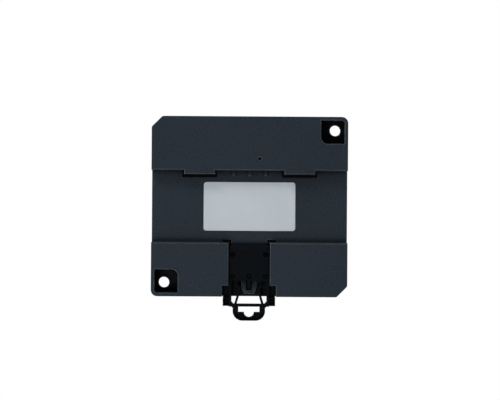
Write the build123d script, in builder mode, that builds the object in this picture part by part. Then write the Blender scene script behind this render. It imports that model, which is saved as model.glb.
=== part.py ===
# Smart energy monitor that clips to a 35 mm mounting rail or screws to a wall.
# X runs along the rail, Z is up and the front faces -Y.
# The wall is the plane y = 0, so a depth from the wall of d lies at y = -d.
# The origin is the middle of the rail channel, in the plane of the wall.
# All lengths are in millimetres.

from build123d import *
import math
import os

# Cuts run past the faces that they open
overrun = 1.0

# Case
case_width = 98.0
case_height = 90.0
case_depth = 40.0
case_wall = 2.0
parting_depth = 14.0
cut_corner_leg = 5.4
cut_corner_blend = 1.6
ear_corner_radius = 3.2
back_edge_radius = 0.5
shoulder_room = 1.0
shoulder_edge_radius = 1.0
deck_height = 53.0
deck_slope = 2.0
deck_edge_radius = 0.8

# Rail channel across the back, with its two hooks and the moulding windows below them
channel_height = 36.1
channel_depth = 5.5
channel_floor = 2.0
step_chamfer = 0.4
hook_spacing = 50.0
hook_width = 15.5
hook_reach = 2.0
hook_depth = 3.6
hook_chamfer = 0.5
window_width = 17.2
window_height = 3.2

# Small ribs that take up the play on the rail, and the pinhole over the reset switch
rib_spacing = 8.05
rib_count = 3
rib_width = 1.1
rib_length = 2.75
rib_proud = 0.6
rib_slope = 0.6
pinhole_x = -5.0
pinhole_rise = 5.85
pinhole_radius = 0.9

# Ears for two wall screws, in deep pockets at two corners
ear_reach = 13.4
ear_wall = 1.8
ear_floor = 2.5
ear_step = 1.5
ear_inner_radius = 3.2
ear_hole_inset_x = 6.0
ear_hole_inset_z = 6.5
ear_rim_chamfer = 0.25
ear_hole_radius = 2.7
ear_ring_radius = 3.8
ear_ring_proud = 0.6

# Joint between the two shells
tongue_gap = 0.1
tongue_thickness = 1.0
tongue_length = 2.0
snap_radius = 0.5
snap_length = 8.0
snap_height = 20.0
snap_recess_gap = 0.15

# Guide for the rail latch, cut into the lower block
slot_half_width = 10.43
groove_gap = 0.2
guide_wall = 1.8
notch_top_gap = 1.6
keyhole_width = 4.3
keyhole_neck_width = 1.1
keyhole_top = 1.05
keyhole_drop = 1.65
keyhole_side_gap = 0.15

# Six-sided stop on the floor of the guide, with heights above the bottom edge
stop_wide_half = 3.82
stop_narrow_half = 2.47
stop_proud = 1.85
stop_foot = 1.3
stop_wide_low = 4.3
stop_wide_high = 7.8
stop_top = 10.8
stop_slot_half = 1.5
stop_slot_low = 2.9
stop_slot_radius = 0.5

# Rail latch, pulled out by its whole travel
latch_travel = 4.5
latch_side_gap = 0.28
latch_floor_gap = 0.2
rail_thickness = 1.37
rail_setback = 0.4
rail_top_drop = 4.75
flange_reach = 2.93
flange_thickness = 1.4
flange_side_gap = 0.42
plate_inset = 0.4
plate_stop_gap = 0.35
plate_thickness = 1.8
plate_setback = 0.85
plate_length = 18.1
plate_corner = 1.1
nose_bevel = 1.2
nose_bevel_run = 2.4
mark_radius = 1.3
mark_depth = 0.45
mark_inset = 1.58
mark_upper_drop = 5.1
mark_lower_rise = 2.1
tongue_half_width = 0.88
tongue_stop_gap = 0.8
tongue_setback = 0.2
wing_height = 4.1
wing_proud = 0.7
wing_wall = 0.5
wing_pocket_depth = 2.2
wing_pad_radius = 0.7
wing_pad_height = 0.4
foot_overhang = 0.1
bar_height = 1.35
bar_drop = 0.4
bar_gusset = 1.1
bar_setback = 0.3
arm_thickness = 1.15
arm_setback = 0.5
arm_root_half = 7.1
arm_root_drop = 4.5
arm_middle_half = 5.64
arm_middle_rise = 0.2
elbow_gap = 0.55
elbow_rise = 4.2
arm_tip_half = 6.4
arm_tip_rise = 5.8
loop_half_width = 8.1
loop_inner_half = 5.3
loop_front_gap = 0.3
loop_length = 7.0
loop_eye_length = 2.8
loop_gusset = 0.7
loop_notch_radius = 2.5
loop_corner_radius = 4.8
grip_wall = 0.55
grip_depth = 1.6

# Blank rating label on the floor of the channel
label_width = 46.0
label_height = 24.4
label_thickness = 0.15
label_radius = 1.4

# Boards
board_thickness = 1.6
board_edge_gap = 0.3
boss_inset_x = 7.0
boss_spacing_z = 24.0
boss_radius = 3.0
boss_bore_radius = 1.05
boss_bore_depth = 4.0
board_hole_radius = 1.6
screw_radius = 1.0
screw_length = 5.2
screw_head_radius = 2.7
screw_head_height = 1.8
logic_drop = 7.0
logic_half_width = 34.0
logic_low = -6.0
logic_top_drop = 3.5
logic_corner_radius = 1.0
spacer_inset = 3.0
spacer_radius = 2.5
spacer_neck_radius = 1.45
spacer_head_radius = 1.9
spacer_head_height = 1.4

# Connector between the boards
header_x = 16.0
header_z = 0.0
header_pin_count = 8
header_pitch = 2.54
header_height = 2.5
header_base_depth = 2.5
header_socket_depth = 8.5
header_pin_size = 0.64
header_pin_engagement = 4.0
header_hole_gap = 0.3

# Mains supply on the main board
transformer_x = -16.0
transformer_z = 4.0
core_width = 20.0
core_top_gap = 1.3
core_thickness = 6.0
core_leg = 3.0
core_middle_leg = 6.0
core_lift = 2.45
bobbin_gap = 0.15
bobbin_wall = 0.8
bobbin_overhang = 5.0
bobbin_foot = 1.6
winding_setback = 0.6
winding_radius = 1.5
capacitor_row = (-24.0, -9.0)
capacitor_row_inset = 9.5
capacitor_radius = 6.2
capacitor_height = 16.0
capacitor_crimp = 0.4
output_capacitor_x = 2.5
output_capacitor_radius = 4.0
output_capacitor_height = 11.0
fuse_place = (-22.0, 26.0)
fuse_radius = 1.9
fuse_length = 10.0
fuse_cap_radius = 2.1
fuse_cap_length = 2.4
fuse_lift = 0.1
varistor_place = (28.0, 30.0)
varistor_radius = 4.5
varistor_thickness = 3.6
varistor_lift = 1.5
varistor_lead_radius = 0.35
varistor_lead_pitch = 5.0
varistor_edge_radius = 0.8
rectifier_inset = 12.5
rectifier_width = 5.0
rectifier_height = 7.0
rectifier_depth = 2.4
rectifier_lead_width = 0.7
rectifier_lead_reach = 0.9
rectifier_lead_pitch = 5.1
rectifier_lead_thickness = 0.25
resistor_x = 6.5
resistor_drop = 7.1
resistor_columns = 4
resistor_rows = 2
resistor_pitch_x = 5.0
resistor_pitch_z = 3.0
resistor_width = 3.2
resistor_height = 1.6
resistor_depth = 0.6
metering_place = (20.0, -16.0)
metering_width = 7.0
metering_height = 7.0
metering_depth = 1.2
metering_pin_reach = 0.9
metering_pin_width = 0.35
metering_pin_pitch = 1.0
metering_pin_count = 6
metering_pin_thickness = 0.3

# Voltage plug in the top shoulder and its header on the main board
plug_x = 4.0
pole_count = 4
pole_pitch = 7.62
plug_end_wall = 0.36
plug_back_gap = 0.6
plug_front_gap = 0.4
plug_top_gap = 0.4
plug_length = 10.5
plug_edge_radius = 0.5
bay_gap = 0.4
bay_wall = 1.2
bay_back_gap = 0.3
header_depth = 8.6
header_length = 8.4
header_wall = 1.0
header_mouth_gap = 0.1
nose_gap = 0.3
nose_tip_gap = 0.35
pin_size = 1.0
pin_reach = 6.1
pin_tail_gap = 0.1
chamber_setback = 2.0
cage_width = 5.6
cage_length = 5.0
cage_depth = 6.0
cage_wall = 0.9
cage_side_gap = 0.25
cage_end_gap = 0.3
cage_back_gap = 0.2
cage_front_gap = 0.3
cage_travel = 1.8
clamp_screw_radius = 1.3
clamp_screw_gap = 0.15
clamp_tip_gap = 0.3
clamp_head_radius = 1.95
clamp_head_height = 1.5
clamp_head_gap = 0.25
clamp_well = 2.2
clamp_shelf = 1.1
clamp_seat_gap = 0.1
clamp_slot_width = 0.7
clamp_slot_depth = 0.7
contact_width = 2.4
contact_thickness = 0.8
contact_window_gap = 0.2
contact_bar_length = 5.8
contact_tip_gap = 0.35
contact_jaw_depth = 3.0
contact_jaw_gap = 0.2
contact_gap = 0.15

# Jacks for the current transformers, in the bottom wall
jack_width = 13.2
jack_gap = 2.4
jack_depth = 13.0
jack_length = 15.5
jack_setback = 0.3
jack_cavity_width = 9.8
jack_cavity_depth = 6.8
jack_cavity_length = 12.5
jack_cavity_rise = 2.4
jack_key_width = 6.2
jack_key_depth = 1.5
jack_latch_width = 3.4
jack_latch_depth = 0.9
jack_contact_count = 6
jack_contact_pitch = 1.02
jack_contact_width = 0.45
jack_contact_thickness = 0.4
jack_contact_rise = 1.3
jack_contact_length = 7.5
socket_window_gap = 0.25

# Power socket, also in the bottom wall
usb_inset = 11.6
usb_width = 8.94
usb_depth = 3.2
usb_length = 7.3
usb_wall = 0.3
usb_tongue_width = 6.7
usb_tongue_thickness = 0.7
usb_tongue_setback = 0.9
usb_rear_length = 1.2

# Radio on the logic board
radio_x = 12.0
radio_z = 5.0
radio_width = 16.0
radio_height = 18.0
radio_board_thickness = 0.8
shield_inset = 1.0
shield_depth = 1.9
shield_wall = 0.2
shield_height = 11.0
antenna_thickness = 0.1
antenna_track = 0.8
antenna_turn_count = 4
antenna_turn_pitch = 3.0
antenna_turn_height = 3.0
antenna_edge_gap = 1.0

# Lights under the deck
light_first_x = -24.0
light_pitch = 8.0
light_count = 4
light_drop = 8.5
led_width = 2.8
led_height = 3.0
led_depth = 0.8
pipe_radius = 1.25
pipe_flange_radius = 1.9
pipe_flange_thickness = 0.8
pipe_led_gap = 0.3
pipe_proud = 0.3
pipe_gap = 0.05

# Set button and its switch
button_x = 24.0
button_radius = 3.0
button_gap = 0.2
button_flange_radius = 3.9
button_flange_thickness = 0.7
button_flange_gap = 0.1
button_proud = 0.6
button_travel = 0.3
button_edge_radius = 0.3
switch_size = 6.0
switch_depth = 2.0
switch_plunger_radius = 1.6
switch_plunger_gap = 0.1
switch_plunger_sink = 0.8

# Reset switch on the back of the main board, behind the pinhole
reset_depth = 3.5
reset_plunger_radius = 1.7
reset_plunger_proud = 0.8
reset_plunger_sink = 1.0
reset_travel = 0.25

# Places that follow from the sizes above
base_z = -case_height / 2
shoulder_depth = parting_depth + jack_depth + shoulder_room + case_wall
deck_inside = case_depth - case_wall
deck_foot_height = deck_height + 2 * deck_slope
channel_half = channel_height / 2
floor_back = channel_depth + channel_floor
pinhole_z = channel_half + pinhole_rise
ear_floor_depth = parting_depth - ear_step
ear_pocket_depth = ear_floor_depth - ear_floor
ear_inside = ear_reach + case_wall
ear_hole_x = case_width / 2 - ear_hole_inset_x
ear_hole_z = case_height / 2 - ear_hole_inset_z
ear_corners = [(-case_width / 2, case_height / 2), (case_width / 2, -case_height / 2)]
ear_holes = [(-ear_hole_x, ear_hole_z), (ear_hole_x, -ear_hole_z)]

board_back = parting_depth - board_thickness
boss_x = case_width / 2 - boss_inset_x
boss_places = [(x, z * boss_spacing_z / 2) for x in (-boss_x, boss_x) for z in (-1, 1)]
logic_depth = case_depth - logic_drop
logic_front = logic_depth + board_thickness
logic_high = deck_height / 2 - logic_top_drop
spacer_x = logic_half_width - spacer_inset
spacer_heights = (logic_low + spacer_inset, logic_high - spacer_inset)
spacer_places = [(x, z) for x in (-spacer_x, spacer_x) for z in spacer_heights]

rectifier_place = (rectifier_inset - case_width / 2, transformer_z)
capacitor_z = capacitor_row_inset - deck_height / 2
capacitor_places = [(x, capacitor_z) for x in capacitor_row]
output_capacitor_place = (output_capacitor_x, capacitor_z)
usb_x = usb_inset - case_width / 2
jack_row_left = usb_x + usb_width / 2
jack_room = case_width / 2 - ear_inside - jack_row_left
jack_count = int(jack_room / (jack_width + jack_gap))
jack_pitch = jack_room / jack_count
jack_places = [jack_row_left + (i + 1 / 2) * jack_pitch for i in range(jack_count)]
light_z = deck_height / 2 - light_drop
light_places = [(light_first_x + i * light_pitch, light_z) for i in range(light_count)]
button_place = (button_x, light_z)
pole_places = [plug_x + (i - (pole_count - 1) / 2) * pole_pitch for i in range(pole_count)]

# Places of the latch, pulled out, and of the guide that it slides in
lip_z = -channel_half
foot_z = base_z - latch_travel - foot_overhang
notch_top = foot_z + wing_height + latch_travel + notch_top_gap
latch_front = channel_depth - latch_floor_gap
plate_back = channel_depth - stop_proud - plate_stop_gap - plate_thickness
rail_outer = slot_half_width - latch_side_gap
rail_inner = rail_outer - rail_thickness
wing_edge = rail_outer + flange_reach
groove_half_width = wing_edge + flange_side_gap
groove_depth = latch_floor_gap + flange_thickness + groove_gap
guide_half_width = groove_half_width + guide_wall


def at_depth(depth):
    # A plane that faces the front, with X to its right and Z up
    return Plane.XZ.offset(depth)


def rectangle_between(left, right, bottom, top, mode=Mode.ADD):
    with Locations(((left + right) / 2, (bottom + top) / 2)):
        Rectangle(right - left, top - bottom, mode=mode)


def case_plan(inset):
    # Outline of the case, drawn in evenly: two cut corners and two round ones over the ears
    with BuildSketch() as plan:
        Rectangle(case_width - 2 * inset, case_height - 2 * inset)
        chamfer([v for v in plan.vertices() if v.X * v.Y > 0], cut_corner_leg - inset * (2 - math.sqrt(2)))
        fillet([v for v in plan.vertices() if v.X * v.Y > 0], cut_corner_blend)
        fillet([v for v in plan.vertices() if v.X * v.Y < 0], ear_corner_radius - inset)
    return plan.sketch


def ear_plan(reach, radius):
    # Squares over both ear corners, run out past the case
    with BuildSketch() as plan:
        with Locations(*ear_corners):
            RectangleRounded(2 * reach, 2 * reach, radius)
    return plan.sketch


def room_plan(gap=0):
    # The room inside the walls, clear of the ears, drawn in by a gap
    with BuildSketch() as plan:
        add(case_plan(case_wall))
        add(ear_plan(ear_inside, ear_inner_radius + case_wall), mode=Mode.SUBTRACT)
        if gap > 0:
            offset(amount=-gap, kind=Kind.INTERSECTION, mode=Mode.REPLACE)
    return plan.sketch


def cover_profile(inset):
    # Side view of the front shell as depth against height, drawn in by a wall
    half = case_height / 2 - inset
    foot = deck_foot_height / 2 - inset
    top = deck_height / 2 - inset
    upper = [
        (overrun - parting_depth, half),
        (inset - shoulder_depth, half),
        (inset - shoulder_depth, foot),
        (inset - case_depth, top),
    ]
    with BuildSketch() as profile:
        with BuildLine():
            Polyline(upper + [(y, -z) for y, z in reversed(upper)], close=True)
        make_face()
    return profile.sketch


outer_plan = case_plan(0)
inner_plan = room_plan()
tongue_plan = room_plan(tongue_gap)
tongue_hollow = room_plan(tongue_gap + tongue_thickness)
board_plan = room_plan(tongue_gap + tongue_thickness + board_edge_gap)
ear_notch_plan = ear_plan(ear_reach, ear_inner_radius)
pocket_rim_plan = case_plan(ear_wall)

os.makedirs("parts", exist_ok=True)

# Rear housing: a tray with the rail channel, the ears and the latch guide in its back
with BuildPart() as rear_housing:
    with BuildSketch(at_depth(0)):
        add(outer_plan)
    extrude(amount=parting_depth)
    fillet(rear_housing.faces().sort_by(Axis.Y)[-1].edges(), back_edge_radius)

    # Hollow, with the back wall stepped round the channel and solid beside the latch guide
    with BuildSketch(at_depth(floor_back)):
        add(inner_plan)
    extrude(amount=parting_depth, mode=Mode.SUBTRACT)
    with BuildSketch(at_depth(case_wall)):
        add(inner_plan)
        Rectangle(case_width, channel_height + 2 * case_wall, mode=Mode.SUBTRACT)
        rectangle_between(-guide_half_width, guide_half_width, base_z, 0, mode=Mode.SUBTRACT)
    extrude(amount=floor_back - case_wall, mode=Mode.SUBTRACT)

    # Rail channel with chamfered mouths
    with BuildSketch(Plane.YZ):
        Rectangle(2 * channel_depth, channel_height)
        with Locations((0, channel_half), (0, -channel_half)):
            Rectangle(step_chamfer * math.sqrt(2), step_chamfer * math.sqrt(2), rotation=45)
    extrude(amount=case_width, both=True, mode=Mode.SUBTRACT)

    # Hooks over the top flange of the rail, each with a window below it
    for side in (-1, 1):
        with BuildSketch(Plane.YZ.offset(side * hook_spacing / 2)):
            rectangle_between(-hook_depth, 0, channel_half - hook_reach, channel_half + case_wall)
        extrude(amount=hook_width / 2, both=True)
    hook_edges = rear_housing.edges().filter_by_position(
        Axis.Z, channel_half - hook_reach, channel_half, inclusive=(True, False))
    chamfer(hook_edges.filter_by_position(Axis.Y, 0, 0), step_chamfer)
    chamfer(hook_edges.filter_by_position(Axis.Y, -hook_depth, -hook_depth).filter_by(Axis.X), hook_chamfer)
    with BuildSketch(at_depth(channel_depth - overrun)):
        with Locations((0, channel_half - window_height / 2)):
            with GridLocations(hook_spacing, 0, 2, 1):
                Rectangle(window_width, window_height)
    extrude(amount=channel_floor + 2 * overrun, mode=Mode.SUBTRACT)

    # Ribs that run down from the upper step and slope off at their lower ends
    rib_top = channel_depth - rib_proud
    rib_low = channel_half - rib_length
    for i in range(rib_count):
        with BuildSketch(Plane.YZ.offset((i - (rib_count - 1) / 2) * rib_spacing)):
            Polygon((-channel_depth, channel_half), (-rib_top, channel_half), (-rib_top, rib_low + rib_slope),
                    (-channel_depth, rib_low), align=None)
        extrude(amount=rib_width / 2, both=True)

    # Pinhole
    with BuildSketch(at_depth(-overrun)):
        with Locations((pinhole_x, pinhole_z)):
            Circle(pinhole_radius)
    extrude(amount=case_wall + 2 * overrun, mode=Mode.SUBTRACT)

    # Ear pockets from the back, with a ring round each screw hole
    with BuildSketch(at_depth(-overrun)):
        add(pocket_rim_plan)
        add(ear_notch_plan, mode=Mode.INTERSECT)
    extrude(amount=ear_pocket_depth + overrun, mode=Mode.SUBTRACT)
    rims = [e for e in rear_housing.edges().filter_by_position(Axis.Y, 0, 0)
            if abs(e.center().X) > case_width / 2 - ear_reach - overrun
            and case_height / 2 - ear_reach - overrun < abs(e.center().Z) < case_height / 2 - ear_wall / 2
            and abs(e.center().X) < case_width / 2 - ear_wall / 2 and e.center().X * e.center().Z < 0]
    chamfer(rims, ear_rim_chamfer)
    with BuildSketch(at_depth(ear_pocket_depth - ear_ring_proud)):
        with Locations(*ear_holes):
            Circle(ear_ring_radius)
    extrude(amount=ear_ring_proud)
    with BuildSketch(at_depth(ear_pocket_depth - overrun)):
        with Locations(*ear_holes):
            Circle(ear_hole_radius)
    extrude(amount=ear_floor + 2 * overrun, mode=Mode.SUBTRACT)
    with BuildSketch(at_depth(ear_floor_depth)):
        add(ear_notch_plan)
    extrude(amount=case_depth, mode=Mode.SUBTRACT)

    # Latch guide: slot, side grooves, notches for the wings and keyholes in the floor
    with BuildSketch(at_depth(-overrun)):
        rectangle_between(-slot_half_width, slot_half_width, base_z - overrun, -channel_half + overrun)
        rectangle_between(-groove_half_width, groove_half_width, base_z - overrun, notch_top)
    extrude(amount=channel_depth + overrun, mode=Mode.SUBTRACT)
    with BuildSketch(at_depth(channel_depth - groove_depth)):
        rectangle_between(-groove_half_width, groove_half_width, base_z - overrun, -channel_half + overrun)
    extrude(amount=groove_depth, mode=Mode.SUBTRACT)
    with BuildSketch(at_depth(channel_depth - overrun)):
        for side in (-1, 1):
            outer = side * (groove_half_width - keyhole_side_gap)
            inner = outer - side * keyhole_width
            neck = inner + side * keyhole_neck_width
            rectangle_between(*sorted((outer, inner)), -channel_half, -channel_half + keyhole_top)
            rectangle_between(*sorted((neck, inner)), -channel_half - keyhole_drop, -channel_half)
    extrude(amount=channel_floor + 2 * overrun, mode=Mode.SUBTRACT)

    # Six-sided stop with the slot that the latch tongue runs in
    stop_right = [
        (stop_narrow_half, base_z + stop_foot),
        (stop_wide_half, base_z + stop_wide_low),
        (stop_wide_half, base_z + stop_wide_high),
        (stop_narrow_half, base_z + stop_top),
    ]
    with BuildSketch(at_depth(channel_depth - stop_proud)) as stop_face:
        Polygon(*stop_right, *[(-x, z) for x, z in reversed(stop_right)], align=None)
        slot_low = base_z + stop_slot_low
        rectangle_between(-stop_slot_half, stop_slot_half, slot_low, base_z + stop_top, mode=Mode.SUBTRACT)
        fillet([v for v in stop_face.vertices() if math.isclose(v.Y, slot_low)], stop_slot_radius)
    extrude(amount=stop_proud)

    # Bosses that carry the main board
    with BuildSketch(at_depth(floor_back)):
        with Locations(*boss_places):
            Circle(boss_radius)
    extrude(amount=board_back - floor_back)
    with BuildSketch(at_depth(board_back - boss_bore_depth)):
        with Locations(*boss_places):
            Circle(boss_bore_radius)
    extrude(amount=boss_bore_depth, mode=Mode.SUBTRACT)

    # Recesses for the snap bumps of the front shell
    for side in (-1, 1):
        snap_x = side * (case_width / 2 - case_wall - tongue_gap)
        for height in (-snap_height, snap_height):
            with BuildSketch(Plane.XY.offset(height)):
                with Locations((snap_x, tongue_length / 2 - parting_depth)):
                    Circle(snap_radius + tongue_gap + snap_recess_gap)
            extrude(amount=snap_length / 2 + snap_recess_gap, both=True, mode=Mode.SUBTRACT)
rear_housing.part.label = "rear_housing"
export_step(rear_housing.part, "parts/rear_housing.step")

# Front cover: shoulders and a raised deck, with a tongue that fits inside the rear housing
bay_half = pole_count * pole_pitch / 2 + plug_end_wall + bay_gap
bay_left = plug_x - bay_half
bay_right = plug_x + bay_half
header_top = case_height / 2 - plug_top_gap - plug_length - header_mouth_gap
bay_low = header_top - header_mouth_gap
header_front = parting_depth + header_depth
jack_front = parting_depth + jack_depth
cut_back = parting_depth - tongue_length - overrun
tongue_inside = case_wall + tongue_gap + tongue_thickness

with BuildPart() as cover_room:
    with BuildSketch(at_depth(parting_depth - overrun)):
        add(inner_plan)
    extrude(amount=case_depth)
    with BuildSketch(Plane.YZ):
        add(cover_profile(case_wall))
    extrude(amount=case_width, both=True, mode=Mode.INTERSECT)

with BuildPart() as front_cover:
    with BuildSketch(at_depth(parting_depth)):
        add(outer_plan)
    extrude(amount=case_depth - parting_depth)
    with BuildSketch(Plane.YZ):
        add(cover_profile(0))
    extrude(amount=case_width, both=True, mode=Mode.INTERSECT)
    fillet(front_cover.faces().sort_by(Axis.Y)[0].edges(), deck_edge_radius)
    shoulder_edges = front_cover.edges().filter_by_position(Axis.Y, -shoulder_depth, -shoulder_depth)
    fillet(shoulder_edges.sort_by(lambda edge: abs(edge.center().Z))[2:], shoulder_edge_radius)
    add(cover_room.part, mode=Mode.SUBTRACT)
    with BuildSketch(at_depth(0)):
        add(ear_notch_plan)
    extrude(amount=case_depth + overrun, mode=Mode.SUBTRACT)

    # Tongue with its snap bumps
    with BuildSketch(at_depth(parting_depth - tongue_length)):
        add(tongue_plan)
        add(tongue_hollow, mode=Mode.SUBTRACT)
    extrude(amount=tongue_length)
    with BuildSketch(at_depth(parting_depth)):
        add(inner_plan)
        add(tongue_hollow, mode=Mode.SUBTRACT)
    extrude(amount=tongue_thickness)
    for side in (-1, 1):
        snap_x = side * (case_width / 2 - case_wall - tongue_gap)
        for height in (-snap_height, snap_height):
            with BuildSketch(Plane.XY.offset(height)):
                with Locations((snap_x, tongue_length / 2 - parting_depth)):
                    Circle(snap_radius)
            extrude(amount=snap_length / 2, both=True)

    # Bay for the voltage plug, open to the top and the front, with walls round it
    bay_back = parting_depth + bay_back_gap
    with BuildSketch(at_depth(bay_back)):
        rectangle_between(bay_left - bay_wall, bay_right + bay_wall, bay_low - bay_wall,
                          case_height / 2 - case_wall)
    extrude(amount=shoulder_depth - case_wall - bay_back)
    with BuildSketch(at_depth(cut_back)):
        rectangle_between(bay_left, bay_right, bay_low, case_height / 2 + overrun)
    extrude(amount=case_depth, mode=Mode.SUBTRACT)
    with BuildSketch(at_depth(cut_back)):
        rectangle_between(bay_left, bay_right, bay_low - bay_wall - overrun, bay_low + overrun)
    extrude(amount=header_front + socket_window_gap - cut_back, mode=Mode.SUBTRACT)

    # Windows for the jacks and the power socket in the bottom wall
    with BuildSketch(Plane.XY.offset(base_z - overrun)):
        for place in jack_places:
            half = jack_width / 2 + socket_window_gap
            rectangle_between(place - half, place + half, -jack_front - socket_window_gap, -cut_back)
        half = usb_width / 2 + socket_window_gap
        rectangle_between(usb_x - half, usb_x + half, -parting_depth - usb_depth - socket_window_gap,
                          -cut_back)
    extrude(amount=tongue_inside + 2 * overrun, mode=Mode.SUBTRACT)

    # Holes in the deck for the lights and the set button
    with BuildSketch(at_depth(deck_inside - overrun)):
        with Locations(*light_places):
            Circle(pipe_radius + pipe_gap)
        with Locations(button_place):
            Circle(button_radius + button_gap)
    extrude(amount=case_wall + 2 * overrun, mode=Mode.SUBTRACT)
front_cover.part.label = "front_cover"
export_step(front_cover.part, "parts/front_cover.step")

# Rail latch: plate, side rails with flanges, wings, tongue, spring arms and pull loop
rail_top = lip_z - rail_top_drop
nose_z = lip_z - plate_setback
plate_half_width = rail_outer - plate_inset
plate_foot = nose_z - plate_length
mark_half = plate_half_width - mark_inset
tongue_end = base_z + stop_slot_low + tongue_stop_gap
bar_low = foot_z - bar_drop
bar_top = bar_low + bar_height
loop_low = bar_low - loop_length
eye_low = bar_low - loop_eye_length
loop_front = latch_front - loop_front_gap
elbow_half = stop_wide_half + elbow_gap + arm_thickness / 2

with BuildPart() as din_latch:
    # Plate with cut corners, its nose bevelled on the wall side
    with BuildSketch(at_depth(plate_back)) as plate_face:
        rectangle_between(-plate_half_width, plate_half_width, plate_foot, nose_z)
        chamfer([v for v in plate_face.vertices() if math.isclose(v.Y, nose_z)], plate_corner)
    extrude(amount=plate_thickness)
    nose_edge = din_latch.faces().sort_by(Axis.Y)[-1].edges().filter_by(Axis.X).sort_by(Axis.Z)[-1]
    chamfer(nose_edge, nose_bevel, nose_bevel_run, reference=din_latch.faces().sort_by(Axis.Z)[-1])

    # Rails, and the flanges that run in the side grooves
    with BuildSketch(at_depth(plate_back + rail_setback)):
        for side in (-1, 1):
            rectangle_between(*sorted((side * rail_inner, side * rail_outer)), foot_z, rail_top)
    extrude(amount=latch_front - plate_back - rail_setback)
    with BuildSketch(at_depth(latch_front - flange_thickness)):
        for side in (-1, 1):
            rectangle_between(*sorted((side * rail_outer, side * wing_edge)), foot_z, rail_top)
    extrude(amount=flange_thickness)

    # Wings that close the notches when the latch is pushed home, hollow from the back
    wing_back = plate_back - wing_proud
    with BuildSketch(at_depth(wing_back)):
        for side in (-1, 1):
            rectangle_between(*sorted((side * rail_outer, side * wing_edge)), foot_z, foot_z + wing_height)
    extrude(amount=latch_front - wing_back)
    with BuildSketch(at_depth(wing_back)):
        for side in (-1, 1):
            rectangle_between(*sorted((side * rail_outer, side * (wing_edge - wing_wall))),
                              foot_z + wing_wall, foot_z + wing_height - wing_wall)
    extrude(amount=wing_pocket_depth, mode=Mode.SUBTRACT)
    with BuildSketch(at_depth(wing_back + wing_pocket_depth - wing_pad_height)):
        with Locations((0, foot_z + wing_height / 2)):
            with GridLocations(rail_outer + wing_edge - wing_wall, 0, 2, 1):
                Circle(wing_pad_radius)
    extrude(amount=wing_pad_height)

    # Tongue that hooks over the foot of the stop slot
    with BuildSketch(at_depth(plate_back + tongue_setback)):
        rectangle_between(-tongue_half_width, tongue_half_width, tongue_end, plate_foot)
    extrude(amount=latch_front - plate_back - tongue_setback)

    # Bar between the feet of the rails, with gussets above it at the rails and below it at the loop
    with BuildSketch(at_depth(plate_back + bar_setback)):
        rectangle_between(-rail_outer, rail_outer, bar_low, bar_top)
        for side in (-1, 1):
            Polygon((side * rail_inner, bar_top), (side * (rail_inner - bar_gusset), bar_top),
                    (side * rail_inner, bar_top + bar_gusset), align=None)
            Polygon((side * loop_half_width, bar_low), (side * (loop_half_width + loop_gusset), bar_low),
                    (side * loop_half_width, bar_low - loop_gusset), align=None)
    extrude(amount=loop_front - plate_back - bar_setback)

    # Spring arms, rising from the bar and bent out again at the elbow
    with BuildSketch(at_depth(plate_back + arm_setback)):
        for side in (-1, 1):
            with BuildLine():
                rising = ThreePointArc(
                    (side * arm_root_half, base_z - arm_root_drop),
                    (side * arm_middle_half, base_z + arm_middle_rise),
                    (side * elbow_half, base_z + elbow_rise),
                )
                Line(rising @ 1, (side * arm_tip_half, base_z + arm_tip_rise))
            trace(line_width=arm_thickness)
    extrude(amount=loop_front - plate_back - arm_setback)

    # Pull loop with its eye, and a grip pocket on each side of the notch
    with BuildSketch(at_depth(plate_back)) as loop_face:
        rectangle_between(-loop_half_width, loop_half_width, loop_low, bar_low)
        fillet([v for v in loop_face.vertices() if math.isclose(v.Y, loop_low)], loop_corner_radius)
        rectangle_between(-loop_inner_half, loop_inner_half, eye_low, bar_low, mode=Mode.SUBTRACT)
        with Locations((0, eye_low)):
            Circle(loop_notch_radius, mode=Mode.SUBTRACT)
    extrude(amount=loop_front - plate_back)
    with BuildSketch(at_depth(plate_back)) as grip_face:
        rectangle_between(-loop_half_width, loop_half_width, loop_low, bar_low)
        fillet([v for v in grip_face.vertices() if math.isclose(v.Y, loop_low)], loop_corner_radius)
        rectangle_between(-loop_half_width, loop_half_width, eye_low, bar_low, mode=Mode.SUBTRACT)
        offset(amount=-grip_wall, mode=Mode.REPLACE)
        with Locations((0, eye_low)):
            Circle(loop_notch_radius + grip_wall, mode=Mode.SUBTRACT)
    extrude(amount=grip_depth, mode=Mode.SUBTRACT)

    # Round moulding marks on the plate
    with BuildSketch(at_depth(plate_back)):
        with Locations((-mark_half, nose_z - mark_upper_drop), (mark_half, nose_z - mark_upper_drop),
                       (-mark_half, plate_foot + mark_lower_rise), (mark_half, plate_foot + mark_lower_rise),
                       (0, plate_foot + mark_lower_rise)):
            Circle(mark_radius)
    extrude(amount=mark_depth, mode=Mode.SUBTRACT)
din_latch.part.label = "din_latch"
export_step(din_latch.part, "parts/din_latch.step")

# Rating label, bare
with BuildPart() as rating_label:
    with BuildSketch(at_depth(channel_depth - label_thickness)):
        RectangleRounded(label_width, label_height, label_radius)
    extrude(amount=label_thickness)
rating_label.part.label = "rating_label"
export_step(rating_label.part, "parts/rating_label.step")

# Main board, cut round the ears, with holes for the screws and the spacers
with BuildPart() as main_board:
    with BuildSketch(at_depth(board_back)):
        add(board_plan)
        with Locations(*boss_places, *spacer_places):
            Circle(board_hole_radius, mode=Mode.SUBTRACT)
    extrude(amount=board_thickness)
main_board.part.label = "main_board"
export_step(main_board.part, "parts/main_board.step")

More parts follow.
